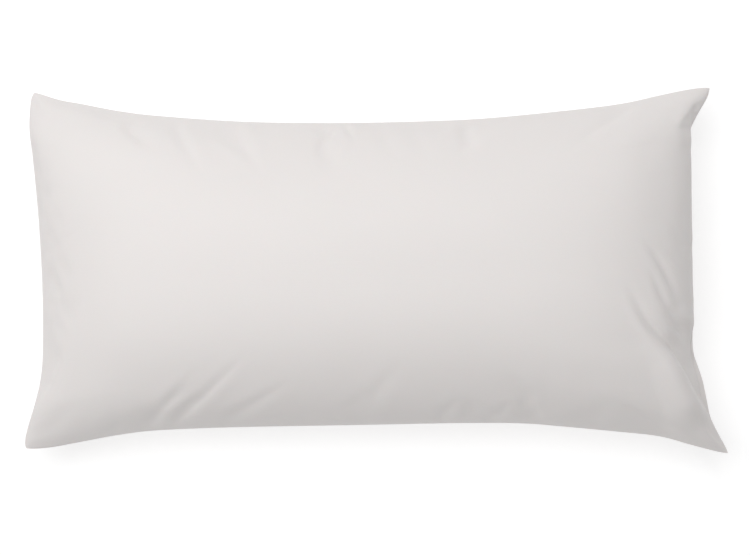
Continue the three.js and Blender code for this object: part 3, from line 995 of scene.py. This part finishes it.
FINISHES = {
    Surface.SATEEN: Finish(
        colour=(0.806, 0.770, 0.756), roughness=0.62, sheen=0.12, specular=0.32,
        warp_lines=16, weft_lines=640, scatter=0.02,
    ),
    Surface.TICKING: Finish(
        colour=(0.82, 0.81, 0.79), roughness=0.85, sheen=0.2, specular=0.2,
        warp_lines=420, weft_lines=420,
    ),
    Surface.THREAD: Finish(
        colour=(0.78, 0.765, 0.75), roughness=0.55, sheen=0.1, specular=0.35,
        warp_lines=900, weft_lines=2400, relief=0.00005,
    ),
    Surface.FIBRE: Finish(
        colour=(0.86, 0.86, 0.85), roughness=0.95, sheen=0.5, specular=0.1, mottle=0.05,
        warp_lines=90, weft_lines=60, relief=0.002,
    ),
    Surface.ZIP_TAPE: Finish(
        colour=(0.76, 0.75, 0.73), roughness=0.8, sheen=0.15, specular=0.25,
        warp_lines=900, weft_lines=1500, relief=0.0001,
    ),
    Surface.ZIP_COIL: Finish(
        colour=(0.72, 0.71, 0.69), roughness=0.34, specular=0.5, mottle=0.03, relief=0.00002,
    ),
    Surface.LACQUER: Finish(
        colour=(0.70, 0.69, 0.67), roughness=0.32, specular=0.5, coat=0.6, mottle=0.03, relief=0.00001,
    ),
    Surface.LABEL: Finish(
        colour=(0.84, 0.84, 0.83), roughness=0.45, sheen=0.1, specular=0.4,
        warp_lines=500, weft_lines=1800, relief=0.00004,
    ),
}


class Graph:
    """Adds nodes to one node tree and joins them."""

    def __init__(self, tree: bpy.types.NodeTree) -> None:
        """Starts on an empty tree."""
        self.tree = tree
        tree.nodes.clear()

    def add(self, kind: str, settings: dict | None = None, inputs: dict | None = None) -> bpy.types.Node:
        """Adds a node.

        Args:
            kind: the node's type.
            settings: its own settings.
            inputs: values or sockets for its inputs, by name or number.

        Returns:
            The node.
        """
        node = self.tree.nodes.new(kind)
        for name, value in (settings or {}).items():
            setattr(node, name, value)
        for key, value in (inputs or {}).items():
            socket = node.inputs[key]
            if isinstance(value, bpy.types.NodeSocket):
                self.tree.links.new(value, socket)
            else:
                socket.default_value = value
        return node

    def maths(self, operation: str, *values: float | bpy.types.NodeSocket) -> bpy.types.NodeSocket:
        """The result of one sum."""
        return self.add("ShaderNodeMath", {"operation": operation}, dict(enumerate(values))).outputs[0]

    def noise(self, place: bpy.types.NodeSocket, detail: float) -> bpy.types.NodeSocket:
        """Noise at places given in its own grain sizes, around 0.5."""
        inputs = {"Vector": place, "Scale": 1.0, "Detail": detail}
        return self.add("ShaderNodeTexNoise", None, inputs).outputs[0]

    def scaled(self, place: bpy.types.NodeSocket, scale: Triple) -> bpy.types.NodeSocket:
        """Places stretched by a scale for each axis."""
        return self.add("ShaderNodeMapping", None, {"Vector": place, "Scale": scale}).outputs[0]


# the crossing threads' height as a share of the others'
CROSS_THREADS = 0.45
# how many patches and specks there are in a metre, and how much more the patches count
PATCHES, SPECKS = (9.0, 14.0, 9.0), (220.0, 900.0, 300.0)
PATCH_WEIGHT = 1.6


class Effects:
    """The node groups that the materials share."""

    def __init__(self) -> None:
        """Makes the groups."""
        self.weave = self._weave()
        self.mottle = self._mottle()

    @staticmethod
    def _group(
        name: str, inputs: dict[str, str], outputs: dict[str, str]
    ) -> tuple[bpy.types.NodeTree, Graph]:
        """A new node group with its sockets.

        Args:
            name: the group's name.
            inputs: each input's socket type, by name.
            outputs: each output's.

        Returns:
            The group and the graph that fills it.
        """
        tree = bpy.data.node_groups.new(name, "ShaderNodeTree")
        for sockets, way in ((inputs, "INPUT"), (outputs, "OUTPUT")):
            for label, kind in sockets.items():
                tree.interface.new_socket(label, in_out=way, socket_type=kind)
        return tree, Graph(tree)

    def _weave(self) -> bpy.types.NodeTree:
        """Threads with slubs: their height and the normal that it gives.

        Returns:
            The node group.
        """
        number, vector = "NodeSocketFloat", "NodeSocketVector"
        tree, graph = self._group(
            "woven_threads",
            {"Place": vector, "Warp": number, "Weft": number, "Slub": number, "Relief": number},
            {"Height": number, "Normal": vector},
        )
        given = graph.add("NodeGroupInput").outputs
        layers = []
        for along, across, share in (("Warp", "Weft", 1.0), ("Weft", "Warp", CROSS_THREADS)):
            counts = {0: given[along], 1: given[across], 2: 1.0}
            scale = graph.add("ShaderNodeCombineXYZ", None, counts).outputs[0]
            product = {0: given["Place"], 1: scale}
            mapped = graph.add("ShaderNodeVectorMath", {"operation": "MULTIPLY"}, product).outputs[0]
            layers.append(graph.maths("MULTIPLY", graph.noise(mapped, 2.0), share))
        height = graph.maths("MULTIPLY", graph.maths("ADD", *layers), given["Slub"])
        bumps = {"Height": height, "Distance": given["Relief"], "Strength": 1.0}
        normal = graph.add("ShaderNodeBump", None, bumps).outputs[0]
        graph.add("NodeGroupOutput", None, {"Height": height, "Normal": normal})
        return tree

    def _mottle(self) -> bpy.types.NodeTree:
        """A colour with broad soft patches and fine specks lighter and darker than it.

        Returns:
            The node group.
        """
        number, vector, colour = "NodeSocketFloat", "NodeSocketVector", "NodeSocketColor"
        tree, graph = self._group(
            "mottle",
            {"Place": vector, "Colour": colour, "Amount": number},
            {"Colour": colour, "Mask": number},
        )
        given = graph.add("NodeGroupInput").outputs
        layers = []
        for scale, detail in ((PATCHES, 2.0), (SPECKS, 1.0)):
            patches = graph.noise(graph.scaled(given["Place"], scale), detail)
            layers.append(graph.maths("SUBTRACT", patches, 0.5))
        both = graph.maths("ADD", graph.maths("MULTIPLY", layers[0], PATCH_WEIGHT), layers[1])
        value = graph.maths("ADD", graph.maths("MULTIPLY", both, given["Amount"]), 1.0)
        tint = {"Color": given["Colour"], "Value": value}
        tinted = graph.add("ShaderNodeHueSaturation", None, tint).outputs[0]
        graph.add("NodeGroupOutput", None, {"Colour": tinted, "Mask": graph.maths("ADD", both, 0.5)})
        return tree


class Library:
    """Makes each material once."""

    def __init__(self) -> None:
        """Makes the shared effects."""
        self.effects = Effects()
        self.made: dict[Surface, bpy.types.Material] = {}

    def material(self, surface: Surface) -> bpy.types.Material:
        """The material of a surface."""
        if surface not in self.made:
            self.made[surface] = self._make(surface, FINISHES[surface])
        return self.made[surface]

    def _make(self, surface: Surface, finish: Finish) -> bpy.types.Material:
        """Makes one material from its finish.

        Args:
            surface: what it is for.
            finish: its look.

        Returns:
            The material.
        """
        material = bpy.data.materials.new(surface.value)
        material.use_nodes = True
        graph = Graph(material.node_tree)
        uv = graph.add("ShaderNodeUVMap", {"uv_map": "cut"}).outputs[0]
        weave = graph.add(
            "ShaderNodeGroup",
            {"node_tree": self.effects.weave},
            {
                "Place": uv,
                "Warp": finish.warp_lines,
                "Weft": finish.weft_lines,
                "Slub": finish.slub,
                "Relief": finish.relief,
            },
        ).outputs
        mottle = graph.add(
            "ShaderNodeGroup",
            {"node_tree": self.effects.mottle},
            {"Place": uv, "Colour": (*finish.colour, 1.0), "Amount": finish.mottle},
        ).outputs
        spread = graph.maths("MULTIPLY", mottle["Mask"], finish.rough_spread)
        rough = graph.maths("ADD", spread, finish.roughness - finish.rough_spread / 2)
        shader = graph.add(
            "ShaderNodeBsdfPrincipled",
            None,
            {
                "Base Color": mottle["Colour"],
                "Roughness": rough,
                "Normal": weave["Normal"],
                "Sheen Weight": finish.sheen,
                "Sheen Roughness": finish.sheen_roughness,
                "Specular IOR Level": finish.specular,
                "Coat Weight": finish.coat,
                "Coat Roughness": finish.coat_roughness,
                "Metallic": finish.metallic,
                "Subsurface Weight": finish.scatter,
                "Subsurface Scale": finish.scatter_depth,
            },
        )
        graph.add("ShaderNodeOutputMaterial", None, {"Surface": shader.outputs[0]})
        return material


# ---- the workshop: solids become objects ---------------------------------------------------------


@dataclass
class Workshop:
    """Turns solids into named objects that ride on the frame."""

    library: Library
    made: list[bpy.types.Object] = field(default_factory=list)

    def build(
        self,
        name: str,
        solid: Solid,
        surface: Surface,
        stands_for: tuple[str, ...] = (),
        body: str = "pillow",
        fill: float | None = None,
        crease: float = 50.0,
    ) -> bpy.types.Object:
        """Makes one piece.

        Args:
            name: its name.
            solid: its points and faces.
            surface: what it is made of.
            stands_for: the frame's nodes that it is shown instead of.
            body: the body that it rides on.
            fill: how full it is, if it is a padded piece; not used.
            crease: edges sharper than this many degrees are shaded sharp.

        Returns:
            The object.
        """
        mesh = mesh_of(name, solid)
        mesh.shade_smooth()
        mesh.set_sharp_from_angle(angle=math.radians(crease))
        mesh.materials.append(self.library.material(surface))
        piece = bpy.data.objects.new(name, mesh)
        bpy.context.scene.collection.objects.link(piece)
        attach(piece, body)
        if stands_for:
            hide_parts(*stands_for)
        self.made.append(piece)
        log.info("%s: %d points, %s, rides on %s", name, len(mesh.vertices), surface.value, body)
        return piece


def mesh_of(name: str, solid: Solid) -> bpy.types.Mesh:
    """A mesh with the cut's coordinates, or its own places, as its map.

    Args:
        name: its name.
        solid: its points and faces.

    Returns:
        The mesh.
    """
    mesh = bpy.data.meshes.new(name)
    counts = np.concatenate([np.full(len(f), f.shape[1]) for f in solid.faces])
    corners = np.concatenate([f.ravel() for f in solid.faces])
    mesh.vertices.add(len(solid.points))
    mesh.vertices.foreach_set("co", solid.points.ravel().astype(np.float32))
    mesh.loops.add(len(corners))
    mesh.loops.foreach_set("vertex_index", corners.astype(np.int32))
    mesh.polygons.add(len(counts))
    mesh.polygons.foreach_set("loop_start", (np.cumsum(counts) - counts).astype(np.int32))
    mesh.update(calc_edges=True)
    place = solid.points[:, [1, 0]] + solid.points[:, [2]] if solid.cut is None else solid.cut
    layer = mesh.uv_layers.new(name="cut")
    layer.uv.foreach_set("vector", place[corners].ravel().astype(np.float32))
    mesh.validate()
    return mesh


# ---- the case ------------------------------------------------------------------------------------


@dataclass(frozen=True)
class Zip:
    """The zip's own frame and sizes, in metres: x out of the pillow, y along the chain, z across it.

    Args:
        origin: the chain's middle.
        lean: how far the chain is turned from the pillow's y.
        chain_half: half the chain's length.
        slot_half, slot_front, slot_rear: half the slot's height, and where it ends along the chain.
        ramp: how far past its ends the slot closes.
        coil, tape: the upper coil's and tape's extents, from and to along x, then along z.
        tape_run, tape_tail: where a tape starts and ends, and the length of its narrow tails.
        pitch, wire: a coil's turn and its wire's thickness.
    """

    origin: Vector = Vector((0.3475, 0.027, 0.072))
    lean: float = math.radians(2.2)
    chain_half: float = 0.105
    slot_half: float = 0.0044
    slot_rear: float = 0.111
    slot_front: float = -0.115
    ramp: float = 0.012
    coil: tuple[float, float, float, float] = (-0.0031, -0.0011, 0.0006, 0.0024)
    tape: tuple[float, float, float, float] = (-0.0039, -0.0034, 0.0008, 0.0108)
    tape_run: tuple[float, float] = (-0.112, 0.1085)
    tape_tail: float = 0.013
    pitch: float = 0.0014
    wire: float = 0.00058

    def place(self, local: Array) -> Array:
        """Points of the zip's frame in the pillow's.

        Args:
            local: the points in the zip's frame.

        Returns:
            The same points in the pillow's.
        """
        c, s = math.cos(self.lean), math.sin(self.lean)
        x, y = local[..., 0], local[..., 1]
        turned = np.stack([c * x - s * y, s * x + c * y, local[..., 2]], axis=-1)
        return turned + np.array(self.origin)

    def along(self, points: Array) -> Array:
        """How far along the chain points of the pillow's frame lie."""
        c, s = math.cos(self.lean), math.sin(self.lean)
        return (points[..., 1] - self.origin.y) * c - (points[..., 0] - self.origin.x) * s

    def opening(self, points: Array) -> Array:
        """1 beside the chain, 0 past the slot's ends."""
        y = self.along(points)
        return smoothstep(y, self.slot_front - self.ramp, self.slot_front) * (
            1 - smoothstep(y, self.slot_rear, self.slot_rear + self.ramp)
        )


@dataclass
class Case:
    """The outer case: two sewn panels with a zip opening in one end.

    Args:
        skin: the case's outside.
        zip: the zip's frame and sizes.
        cloth: the cloth's thickness.
        turn, slot_turn: how far the edge is turned in, and how much farther beside the slot.
        seam_open, seam_closed: how far an edge's outer and inner lines lie from the seam's middle.
        slot_squeeze: how much closer the outer line lies beside the slot, as a share.
        slot_clear: how far from the slot the seam's stitches end, as a share of the slot's ramp.
        part_reach: how far inland the panels part at the slot.
        corner_gap: how many of the border's points have no stitches at each corner.
        seam_depth: how deep in the seam its stitches lie.
        seam_thread, top_thread: the seam's thread and the topstitching's.
        top_inset, top_overrun: how far the topstitching lies from the edge and runs past the slot.
    """

    skin: Skin
    zip: Zip
    cloth: float = 0.0005
    turn: float = 0.0016
    slot_turn: float = 0.0009
    seam_open: float = 0.0005
    seam_closed: float = 0.00012
    slot_squeeze: float = 0.3
    slot_clear: float = 0.7
    part_reach: float = 0.007
    corner_gap: int = 4
    seam_depth: float = 0.0011
    seam_thread: Thread = Thread(0.0026, 0.0005)
    top_thread: Thread = Thread(0.0028, 0.00045)
    top_inset: float = 0.0042
    top_overrun: float = 0.004

    def opened(self) -> None:
        """Parts both faces of the skin at the zip."""
        for side in Side:
            grid = self.skin.face(side)
            inland = (1 - self.skin.u) * self.skin.form.cut[0] / 2
            near = np.exp(-((inland / self.part_reach) ** 2)) * (self.skin.u > 0)
            lift = self.zip.opening(grid) * near * self.zip.slot_half
            grid[..., 2] += side.value * lift

    def edge(self) -> Edge:
        """How the panels' edges are turned in, round the border.

        Returns:
            The edge, wider beside the zip.
        """
        i, j = border(self.skin.top.shape[:2])
        loop = self.skin.top[i, j]
        slot = self.zip.opening(loop) * np.isclose(self.skin.u[i, j], 1)
        turn = self.turn + slot * self.slot_turn
        return Edge(turn, self.seam_open * (1 - self.slot_squeeze * slot), self.seam_closed)

    def build(self, shop: Workshop) -> None:
        """Makes the panels, the seams' stitches and the topstitching beside the zip.

        Args:
            shop: where the pieces are made.
        """
        edge = self.edge()
        self.opened()
        for side, name, node in (
            (Side.SLEEPING, "case_front", "case_front_panel"),
            (Side.UNDERSIDE, "case_back", "case_back_panel"),
        ):
            solid = shell(self.skin.face(side), self.metres(0), self.metres(1), side, edge, self.cloth)
            shop.build(name, solid, Surface.SATEEN, (node,), fill=0.9)
        self.seams(shop)
        self.topstitching(shop)

    def metres(self, axis: int) -> Array:
        """The cut's coordinates in metres."""
        return (self.skin.u, self.skin.v)[axis] * self.skin.form.cut[axis] / 2

    def seams(self, shop: Workshop) -> None:
        """The lockstitch that shows down in the seam all round the case.

        Args:
            shop: where the pieces are made.
        """
        i, j = border(self.skin.top.shape[:2])
        sides = border_sides(self.skin.top.shape[:2], self.corner_gap)
        front, zip_end, rear, closed_end = (np.arange(*side) for side in sides)
        loop = 0.5 * (self.skin.top[i, j] + self.skin.bottom[i, j])
        held = loop + inward(loop) * self.seam_depth
        y = self.zip.along(loop)
        clear = self.slot_clear * self.zip.ramp
        runs = {
            "front": front,
            "zip_end_front": zip_end[y[zip_end] < self.zip.slot_front - clear],
            "zip_end_rear": zip_end[y[zip_end] > self.zip.slot_rear + clear],
            "rear": rear,
            "closed_end": closed_end,
        }
        for name, run in runs.items():
            row = stitches(held[run], -inward(loop)[run], self.seam_thread)
            shop.build(f"case_stitches_{name}", row, Surface.THREAD, (f"case_seam_{name}",))

    def topstitching(self, shop: Workshop) -> None:
        """A row of stitches on each panel beside the zip.

        Args:
            shop: where the pieces are made.
        """
        for side, name in ((Side.SLEEPING, "upper"), (Side.UNDERSIDE, "lower")):
            grid = self.skin.face(side)
            out = normals_of(grid, side.value)
            v = np.linspace(-1, 1, 900)
            u = np.full_like(v, 1 - self.top_inset / (self.skin.form.cut[0] / 2))
            line, facing = sample(grid, u, v), sample(out, u, v)
            y = self.zip.along(line)
            first, last = self.zip.slot_front - self.top_overrun, self.zip.slot_rear + self.top_overrun
            keep = (y > first) & (y < last)
            row = stitches(line[keep], facing[keep], self.top_thread)
            shop.build(f"zip_topstitch_{name}", row, Surface.THREAD)


# ---- the insert ----------------------------------------------------------------------------------


@dataclass
class Insert:
    """The fibre insert: two ticking panels sewn round a filling.

    Args:
        skin: the case's outside.
        inset, sink: how far the ticking's edge and faces lie inside the case's.
        filling_inset, filling_sink: how much farther the filling's do.
        cloth: the ticking's thickness.
        half_size, half_cut: half its length and width, filled and as cut.
        coarser: which of the case's grid points it keeps, as one in so many.
        corner_gap: how many of the border's points have no stitches at each corner.
        edge: how the ticking is turned in.
        seam_depth: how deep in the seam its stitches lie.
        thread: the seams' thread.
    """

    skin: Skin
    inset: float = 0.01
    sink: float = 0.005
    filling_inset: float = 0.006
    filling_sink: float = 0.0022
    cloth: float = 0.0004
    half_size: tuple[float, float] = (0.37, 0.17)
    half_cut: tuple[float, float] = (0.39, 0.19)
    coarser: int = 2
    corner_gap: int = 3
    edge: Edge = Edge(0.0015, 0.0004, 0.0001)
    seam_depth: float = 0.0009
    thread: Thread = Thread(0.003, 0.0004)

    def layer(self, inset: float, sink: float) -> tuple[Array, Array]:
        """Both faces of a layer inside the case.

        Args:
            inset: how far its edge lies inside the case's edge.
            sink: how far its faces lie inside the case's faces.

        Returns:
            The upper and lower points.
        """
        faces = []
        rim, rise = self.skin.form.seam, self.skin.form.height - self.skin.form.seam
        middle = (self.skin.soft_top[:, :1] + self.skin.soft_top[:, -1:])[..., 1] / 2
        for grid, depth in ((self.skin.soft_top, rise), (self.skin.soft_bottom, rim)):
            points = grid.copy()
            points[..., 0] *= 1 - inset / self.half_size[0]
            points[..., 1] = middle + (points[..., 1] - middle) * (1 - inset / self.half_size[1])
            points[..., 2] = rim + (points[..., 2] - rim) * (1 - sink / depth)
            faces.append(points[:: self.coarser, :: self.coarser])
        return faces[0], faces[1]

    def build(self, shop: Workshop) -> None:
        """Makes the ticking, its seams and the filling.

        Args:
            shop: where the pieces are made.
        """
        top, bottom = self.layer(self.inset, self.sink)
        every = slice(None, None, self.coarser)
        u, v = self.skin.u[every, every] * self.half_cut[0], self.skin.v[every, every] * self.half_cut[1]
        for grid, side, name in (
            (top, Side.SLEEPING, "insert_top"),
            (bottom, Side.UNDERSIDE, "insert_bottom"),
        ):
            solid = shell(grid, u, v, side, self.edge, self.cloth)
            shop.build(name, solid, Surface.TICKING, (f"{name}_ticking",), fill=0.85)
        body = closed_body(*self.layer(self.inset + self.filling_inset, self.sink + self.filling_sink))
        shop.build("filling", body, Surface.FIBRE, ("fibre_filling",), fill=0.85)
        self.seams(shop, top)

    def seams(self, shop: Workshop, top: Array) -> None:
        """The stitches that close the insert, and the row that closes its stuffing gap.

        Args:
            shop: where the pieces are made.
            top: the upper ticking's points, whose border is the seam.
        """
        i, j = border(top.shape[:2])
        gap, third = self.corner_gap, (top.shape[1] - 1) // 3
        front, zip_end, rear, (start, stop) = border_sides(top.shape[:2], gap)
        loop = top[i, j]
        held = loop + inward(loop) * self.seam_depth
        runs = {
            "insert_seam_front": front,
            "insert_seam_zip_end": zip_end,
            "insert_seam_rear": rear,
            "insert_seam_closed_end_rear": (start, start + third - gap),
            "insert_closing_seam": (start + third - 1, stop - third + 1),
            "insert_seam_closed_end_front": (stop - third + gap, stop),
        }
        for node, run in runs.items():
            span = slice(*run)
            row = stitches(held[span], -inward(loop)[span], self.thread)
            shop.build(f"{node}_stitches", row, Surface.THREAD, (node,))


@dataclass
class Labels:
    """The sewn-in labels, left blank.

    Args:
        skin: the case's outside.
        cloth: a label's thickness.
        half_size: half the pillow's length and width, for a label's place on it.
        cells: a label's cells along and across.
    """

    skin: Skin
    cloth: float = 0.0003
    half_size: tuple[float, float] = (0.37, 0.172)
    cells: int = 24

    def build(self, shop: Workshop) -> None:
        """Makes one label on the case's lining and one on the insert.

        Args:
            shop: where the pieces are made.
        """
        inner = self.skin.soft_bottom
        places = (
            ("case_label", "case_care_label", 0.0017),
            ("insert_label", "insert_care_label", 0.0042),
        )
        for name, node, depth in places:
            low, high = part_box(node)
            centre, size = (low + high) / 2, high - low
            spans = []
            for axis, half in enumerate(self.half_size):
                low_end, high_end = centre[axis] - size[axis] / 2, centre[axis] + size[axis] / 2
                spans.append(np.linspace(low_end / half, high_end / half, self.cells + 1))
            grid = sample(inner, *np.meshgrid(*spans, indexing="ij"))
            outer = grid - normals_of(grid, -1) * depth
            plain = Edge(0.0, 0.0, self.cloth)
            sheet = shell(outer, outer[..., 0], outer[..., 1], Side.UNDERSIDE, plain, self.cloth)
            shop.build(name, sheet, Surface.LABEL, (node,))


# ---- the zip -------------------------------------------------------------------------------------


# for the small hard pieces: points this close are joined, flatter edges are dissolved, sharper ones rounded
SAME_PLACE = 1e-6
FLAT_ANGLE, SHARP_ANGLE = math.radians(2), math.radians(25)


@dataclass
class Fastener:
    """The zip's visible pieces.

    Args:
        zip: its frame and sizes.
        tape_cells: a tape's cells through, along and across.
        tail_width: the tails' width as a share of the tape's.
        tail_start: where a tape starts and ends narrowing, from the end of its run.
        end_gap: how far the coils end before the chain does.
        turn_points: the points in each turn of the wire.
        head_swell: how much thicker the wire is at its heads.
        stop_round, slider_round, tab_round: how wide the hard pieces' edges are rounded.
    """

    zip: Zip
    tape_cells: tuple[int, int, int] = (1, 240, 12)
    tail_width: float = 0.4
    tail_start: tuple[float, float] = (-0.005, 0.001)
    end_gap: float = 0.0025
    turn_points: int = 16
    head_swell: float = 0.25
    stop_round: float = 0.0002
    slider_round: float = 0.00022
    tab_round: float = 0.00025

    def build(self, shop: Workshop) -> None:
        """Makes the tapes, coils, stops, slider and pull tab.

        Args:
            shop: where the pieces are made.
        """
        for up, name in ((1, "upper"), (-1, "lower")):
            self.tape(shop, up, name)
            self.coil(shop, up, name)
            self.refined(shop, f"zip_top_stop_{name}", self.stop_round, Surface.ZIP_COIL)
        self.refined(shop, "zip_bottom_stop", self.stop_round, Surface.ZIP_COIL)
        self.refined(shop, "zip_slider", self.slider_round, Surface.LACQUER, "slider")
        self.refined(shop, "zip_pull_tab", self.tab_round, Surface.LACQUER, "pull_tab")

    def tape(self, shop: Workshop, up: int, name: str) -> None:
        """One woven tape, whose narrow tails run on under the seam.

        Args:
            shop: where the piece is made.
            up: 1 for the upper tape, -1 for the lower.
            name: which one it is.
        """
        n0, n1, b0, b1 = self.zip.tape
        y0, y1 = self.zip.tape_run
        low, high = min(up * b0, up * b1), max(up * b0, up * b1)
        tail = self.zip.tape_tail
        solid = slab((n0, y0 - tail, low), (n1, y1 + tail, high), self.tape_cells)
        solid.cut = solid.points[:, [1, 2]]
        y, z = solid.points[:, 1], solid.points[:, 2]
        narrow = smoothstep(np.maximum(y0 - y, y - y1), *self.tail_start)
        solid.points[:, 2] = up * b0 + (z - up * b0) * mix(1, self.tail_width, narrow)
        solid.points = self.zip.place(solid.points)
        shop.build(f"zip_tape_{name}_woven", solid, Surface.ZIP_TAPE, (f"zip_tape_{name}",))

    def coil(self, shop: Workshop, up: int, name: str) -> None:
        """One coil of bent nylon wire.

        Args:
            shop: where the piece is made.
            up: 1 for the upper coil, -1 for the lower.
            name: which one it is.
        """
        n0, n1, b0, b1 = self.zip.coil
        end = self.zip.chain_half - self.end_gap
        turns = int(2 * end / self.zip.pitch)
        k = np.linspace(0, turns, turns * self.turn_points + 1)
        reach = self.zip.wire / 2
        angle = 2 * np.pi * k
        head = 1 + self.head_swell * np.cos(angle) ** 8
        line = np.stack(
            [
                (n0 + n1) / 2 + ((n1 - n0) / 2 - reach) * np.sin(angle),
                mix(-end, end, k / turns) + 0.25 * self.zip.pitch * np.sin(2 * angle),
                up * ((b0 + b1) / 2 - ((b1 - b0) / 2 - reach * 1.25) * np.cos(angle)),
            ],
            axis=-1,
        )
        chain_way = self.zip.place(np.array([0, 1.0, 0])) - self.zip.place(np.zeros(3))
        wire = tubes(self.zip.place(line)[None], (reach * head)[None], chain_way)
        shop.build(f"zip_coil_{name}_wire", wire, Surface.ZIP_COIL, (f"zip_coil_{name}",))

    @staticmethod
    def refined(shop: Workshop, node: str, width: float, surface: Surface, body: str = "pillow") -> None:
        """A small hard piece like its frame node, with rounded edges.

        Args:
            shop: where the piece is made.
            node: the frame node that it is shown instead of.
            width: how wide the rounding is.
            surface: what it is made of.
            body: the body that it rides on.
        """
        bm = bmesh.new()
        bm.from_mesh(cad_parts[node].data)
        bmesh.ops.remove_doubles(bm, verts=bm.verts, dist=SAME_PLACE)
        bmesh.ops.dissolve_limit(bm, angle_limit=FLAT_ANGLE, verts=bm.verts, edges=bm.edges)
        sharp = [e for e in bm.edges if len(e.link_faces) == 2 and e.calc_face_angle() > SHARP_ANGLE]
        bmesh.ops.bevel(
            bm, geom=sharp, offset=width, segments=3, profile=0.5, affect="EDGES", clamp_overlap=True
        )
        bmesh.ops.triangulate(bm, faces=bm.faces)
        points = np.array([v.co for v in bm.verts])
        faces = np.array([[v.index for v in f.verts] for f in bm.faces])
        bm.free()
        shop.build(f"{node}_cast", Solid(points, [faces]), surface, (node,), body, crease=35)


# ---- the studio ----------------------------------------------------------------------------------


@dataclass(frozen=True)
class Softbox:
    """A soft rectangular light."""

    name: str
    place: tuple[float, float, float]
    size: tuple[float, float]
    power: float
    aim: tuple[float, float, float] = (0.0, 0.0, 0.08)


@dataclass(frozen=True)
class Studio:
    """The floor, the lights and the camera.

    Args:
        lights: the softboxes.
        field: the width that the camera sees at the seam's level.
        centre: the point that it looks at.
        surround: how bright the surround is.
        floor_half, floor_level: half the floor's side, and its height.
        floor_tone, floor_glow: its colour and how much light it gives off.
        sensor, far_clip: the camera's sensor in millimetres and how far it sees.
    """

    lights: tuple[Softbox, ...] = (Softbox("key_softbox", (-0.55, 0.66, 2.35), (2.2, 1.8), 44.5),)
    field: float = 0.8325
    centre: tuple[float, float, float] = (-0.00055, -0.0078, 0.072)
    surround: float = 0.35
    floor_half: float = 6.0
    floor_level: float = -0.0006
    floor_tone: float = 0.54
    floor_glow: float = 0.58
    sensor: float = 36.0
    far_clip: float = 20.0

    def build(self) -> None:
        """Sets everything up."""
        self.floor()
        for light in self.lights:
            self.light(light)
        self.world()
        self.camera()
        bpy.context.scene.view_settings.view_transform = "Standard"

    def floor(self) -> None:
        """A plain pale floor, lit a little from inside."""
        size = self.floor_half
        corners = [(-size, -size, 0), (size, -size, 0), (size, size, 0), (-size, size, 0)]
        mesh = bpy.data.meshes.new("floor")
        mesh.from_pydata([Vector(c) for c in corners], [], [(0, 1, 2, 3)])
        material = bpy.data.materials.new("pale_floor")
        material.use_nodes = True
        graph = Graph(material.node_tree)
        shader = graph.add(
            "ShaderNodeBsdfPrincipled",
            None,
            {
                "Base Color": (self.floor_tone, self.floor_tone, self.floor_tone, 1.0),
                "Roughness": 0.9,
                "Emission Color": (1.0, 1.0, 1.0, 1.0),
                "Emission Strength": self.floor_glow,
            },
        )
        graph.add("ShaderNodeOutputMaterial", None, {"Surface": shader.outputs[0]})
        mesh.materials.append(material)
        floor = bpy.data.objects.new("floor", mesh)
        floor.location.z = self.floor_level
        bpy.context.scene.collection.objects.link(floor)

    @staticmethod
    def light(box: Softbox) -> None:
        """One softbox, turned to what it lights.

        Args:
            box: its place, size and power.
        """
        data = bpy.data.lights.new(box.name, "AREA")
        data.shape = "RECTANGLE"
        data.size, data.size_y = box.size
        data.energy = box.power
        lamp = bpy.data.objects.new(box.name, data)
        lamp.location = box.place
        lamp.rotation_euler = (Vector(box.aim) - Vector(box.place)).to_track_quat("-Z", "Y").to_euler()
        bpy.context.scene.collection.objects.link(lamp)

    def world(self) -> None:
        """An even pale surround."""
        world = bpy.data.worlds.new("surround")
        world.use_nodes = True
        graph = Graph(world.node_tree)
        even = {"Color": (1.0, 1.0, 1.0, 1.0), "Strength": self.surround}
        glow = graph.add("ShaderNodeBackground", None, even)
        graph.add("ShaderNodeOutputWorld", None, {"Surface": glow.outputs[0]})
        bpy.context.scene.world = world

    def camera(self) -> None:
        """A long lens straight above the pillow."""
        data = bpy.data.cameras.new("camera")
        data.sensor_width = self.sensor
        data.lens = self.sensor * VIEW_HEIGHT / self.field
        data.clip_end = self.far_clip
        camera = bpy.data.objects.new("camera", data)
        camera.location = Vector(self.centre) + Vector((0, 0, VIEW_HEIGHT))
        bpy.context.scene.collection.objects.link(camera)
        bpy.context.scene.camera = camera


# ---- the whole pillow ----------------------------------------------------------------------------


def main() -> None:
    """Builds the pillow and its studio."""
    logging.basicConfig(level=logging.INFO, format="%(name)s: %(message)s")
    shop = Workshop(Library())
    skin = Skin.made_from(Form())
    fastening = Zip()
    Case(skin, fastening).build(shop)
    Insert(skin).build(shop)
    Labels(skin).build(shop)
    Fastener(fastening).build(shop)
    Studio().build()
    bpy.context.view_layer.update()


if __name__ == "__main__":
    main()
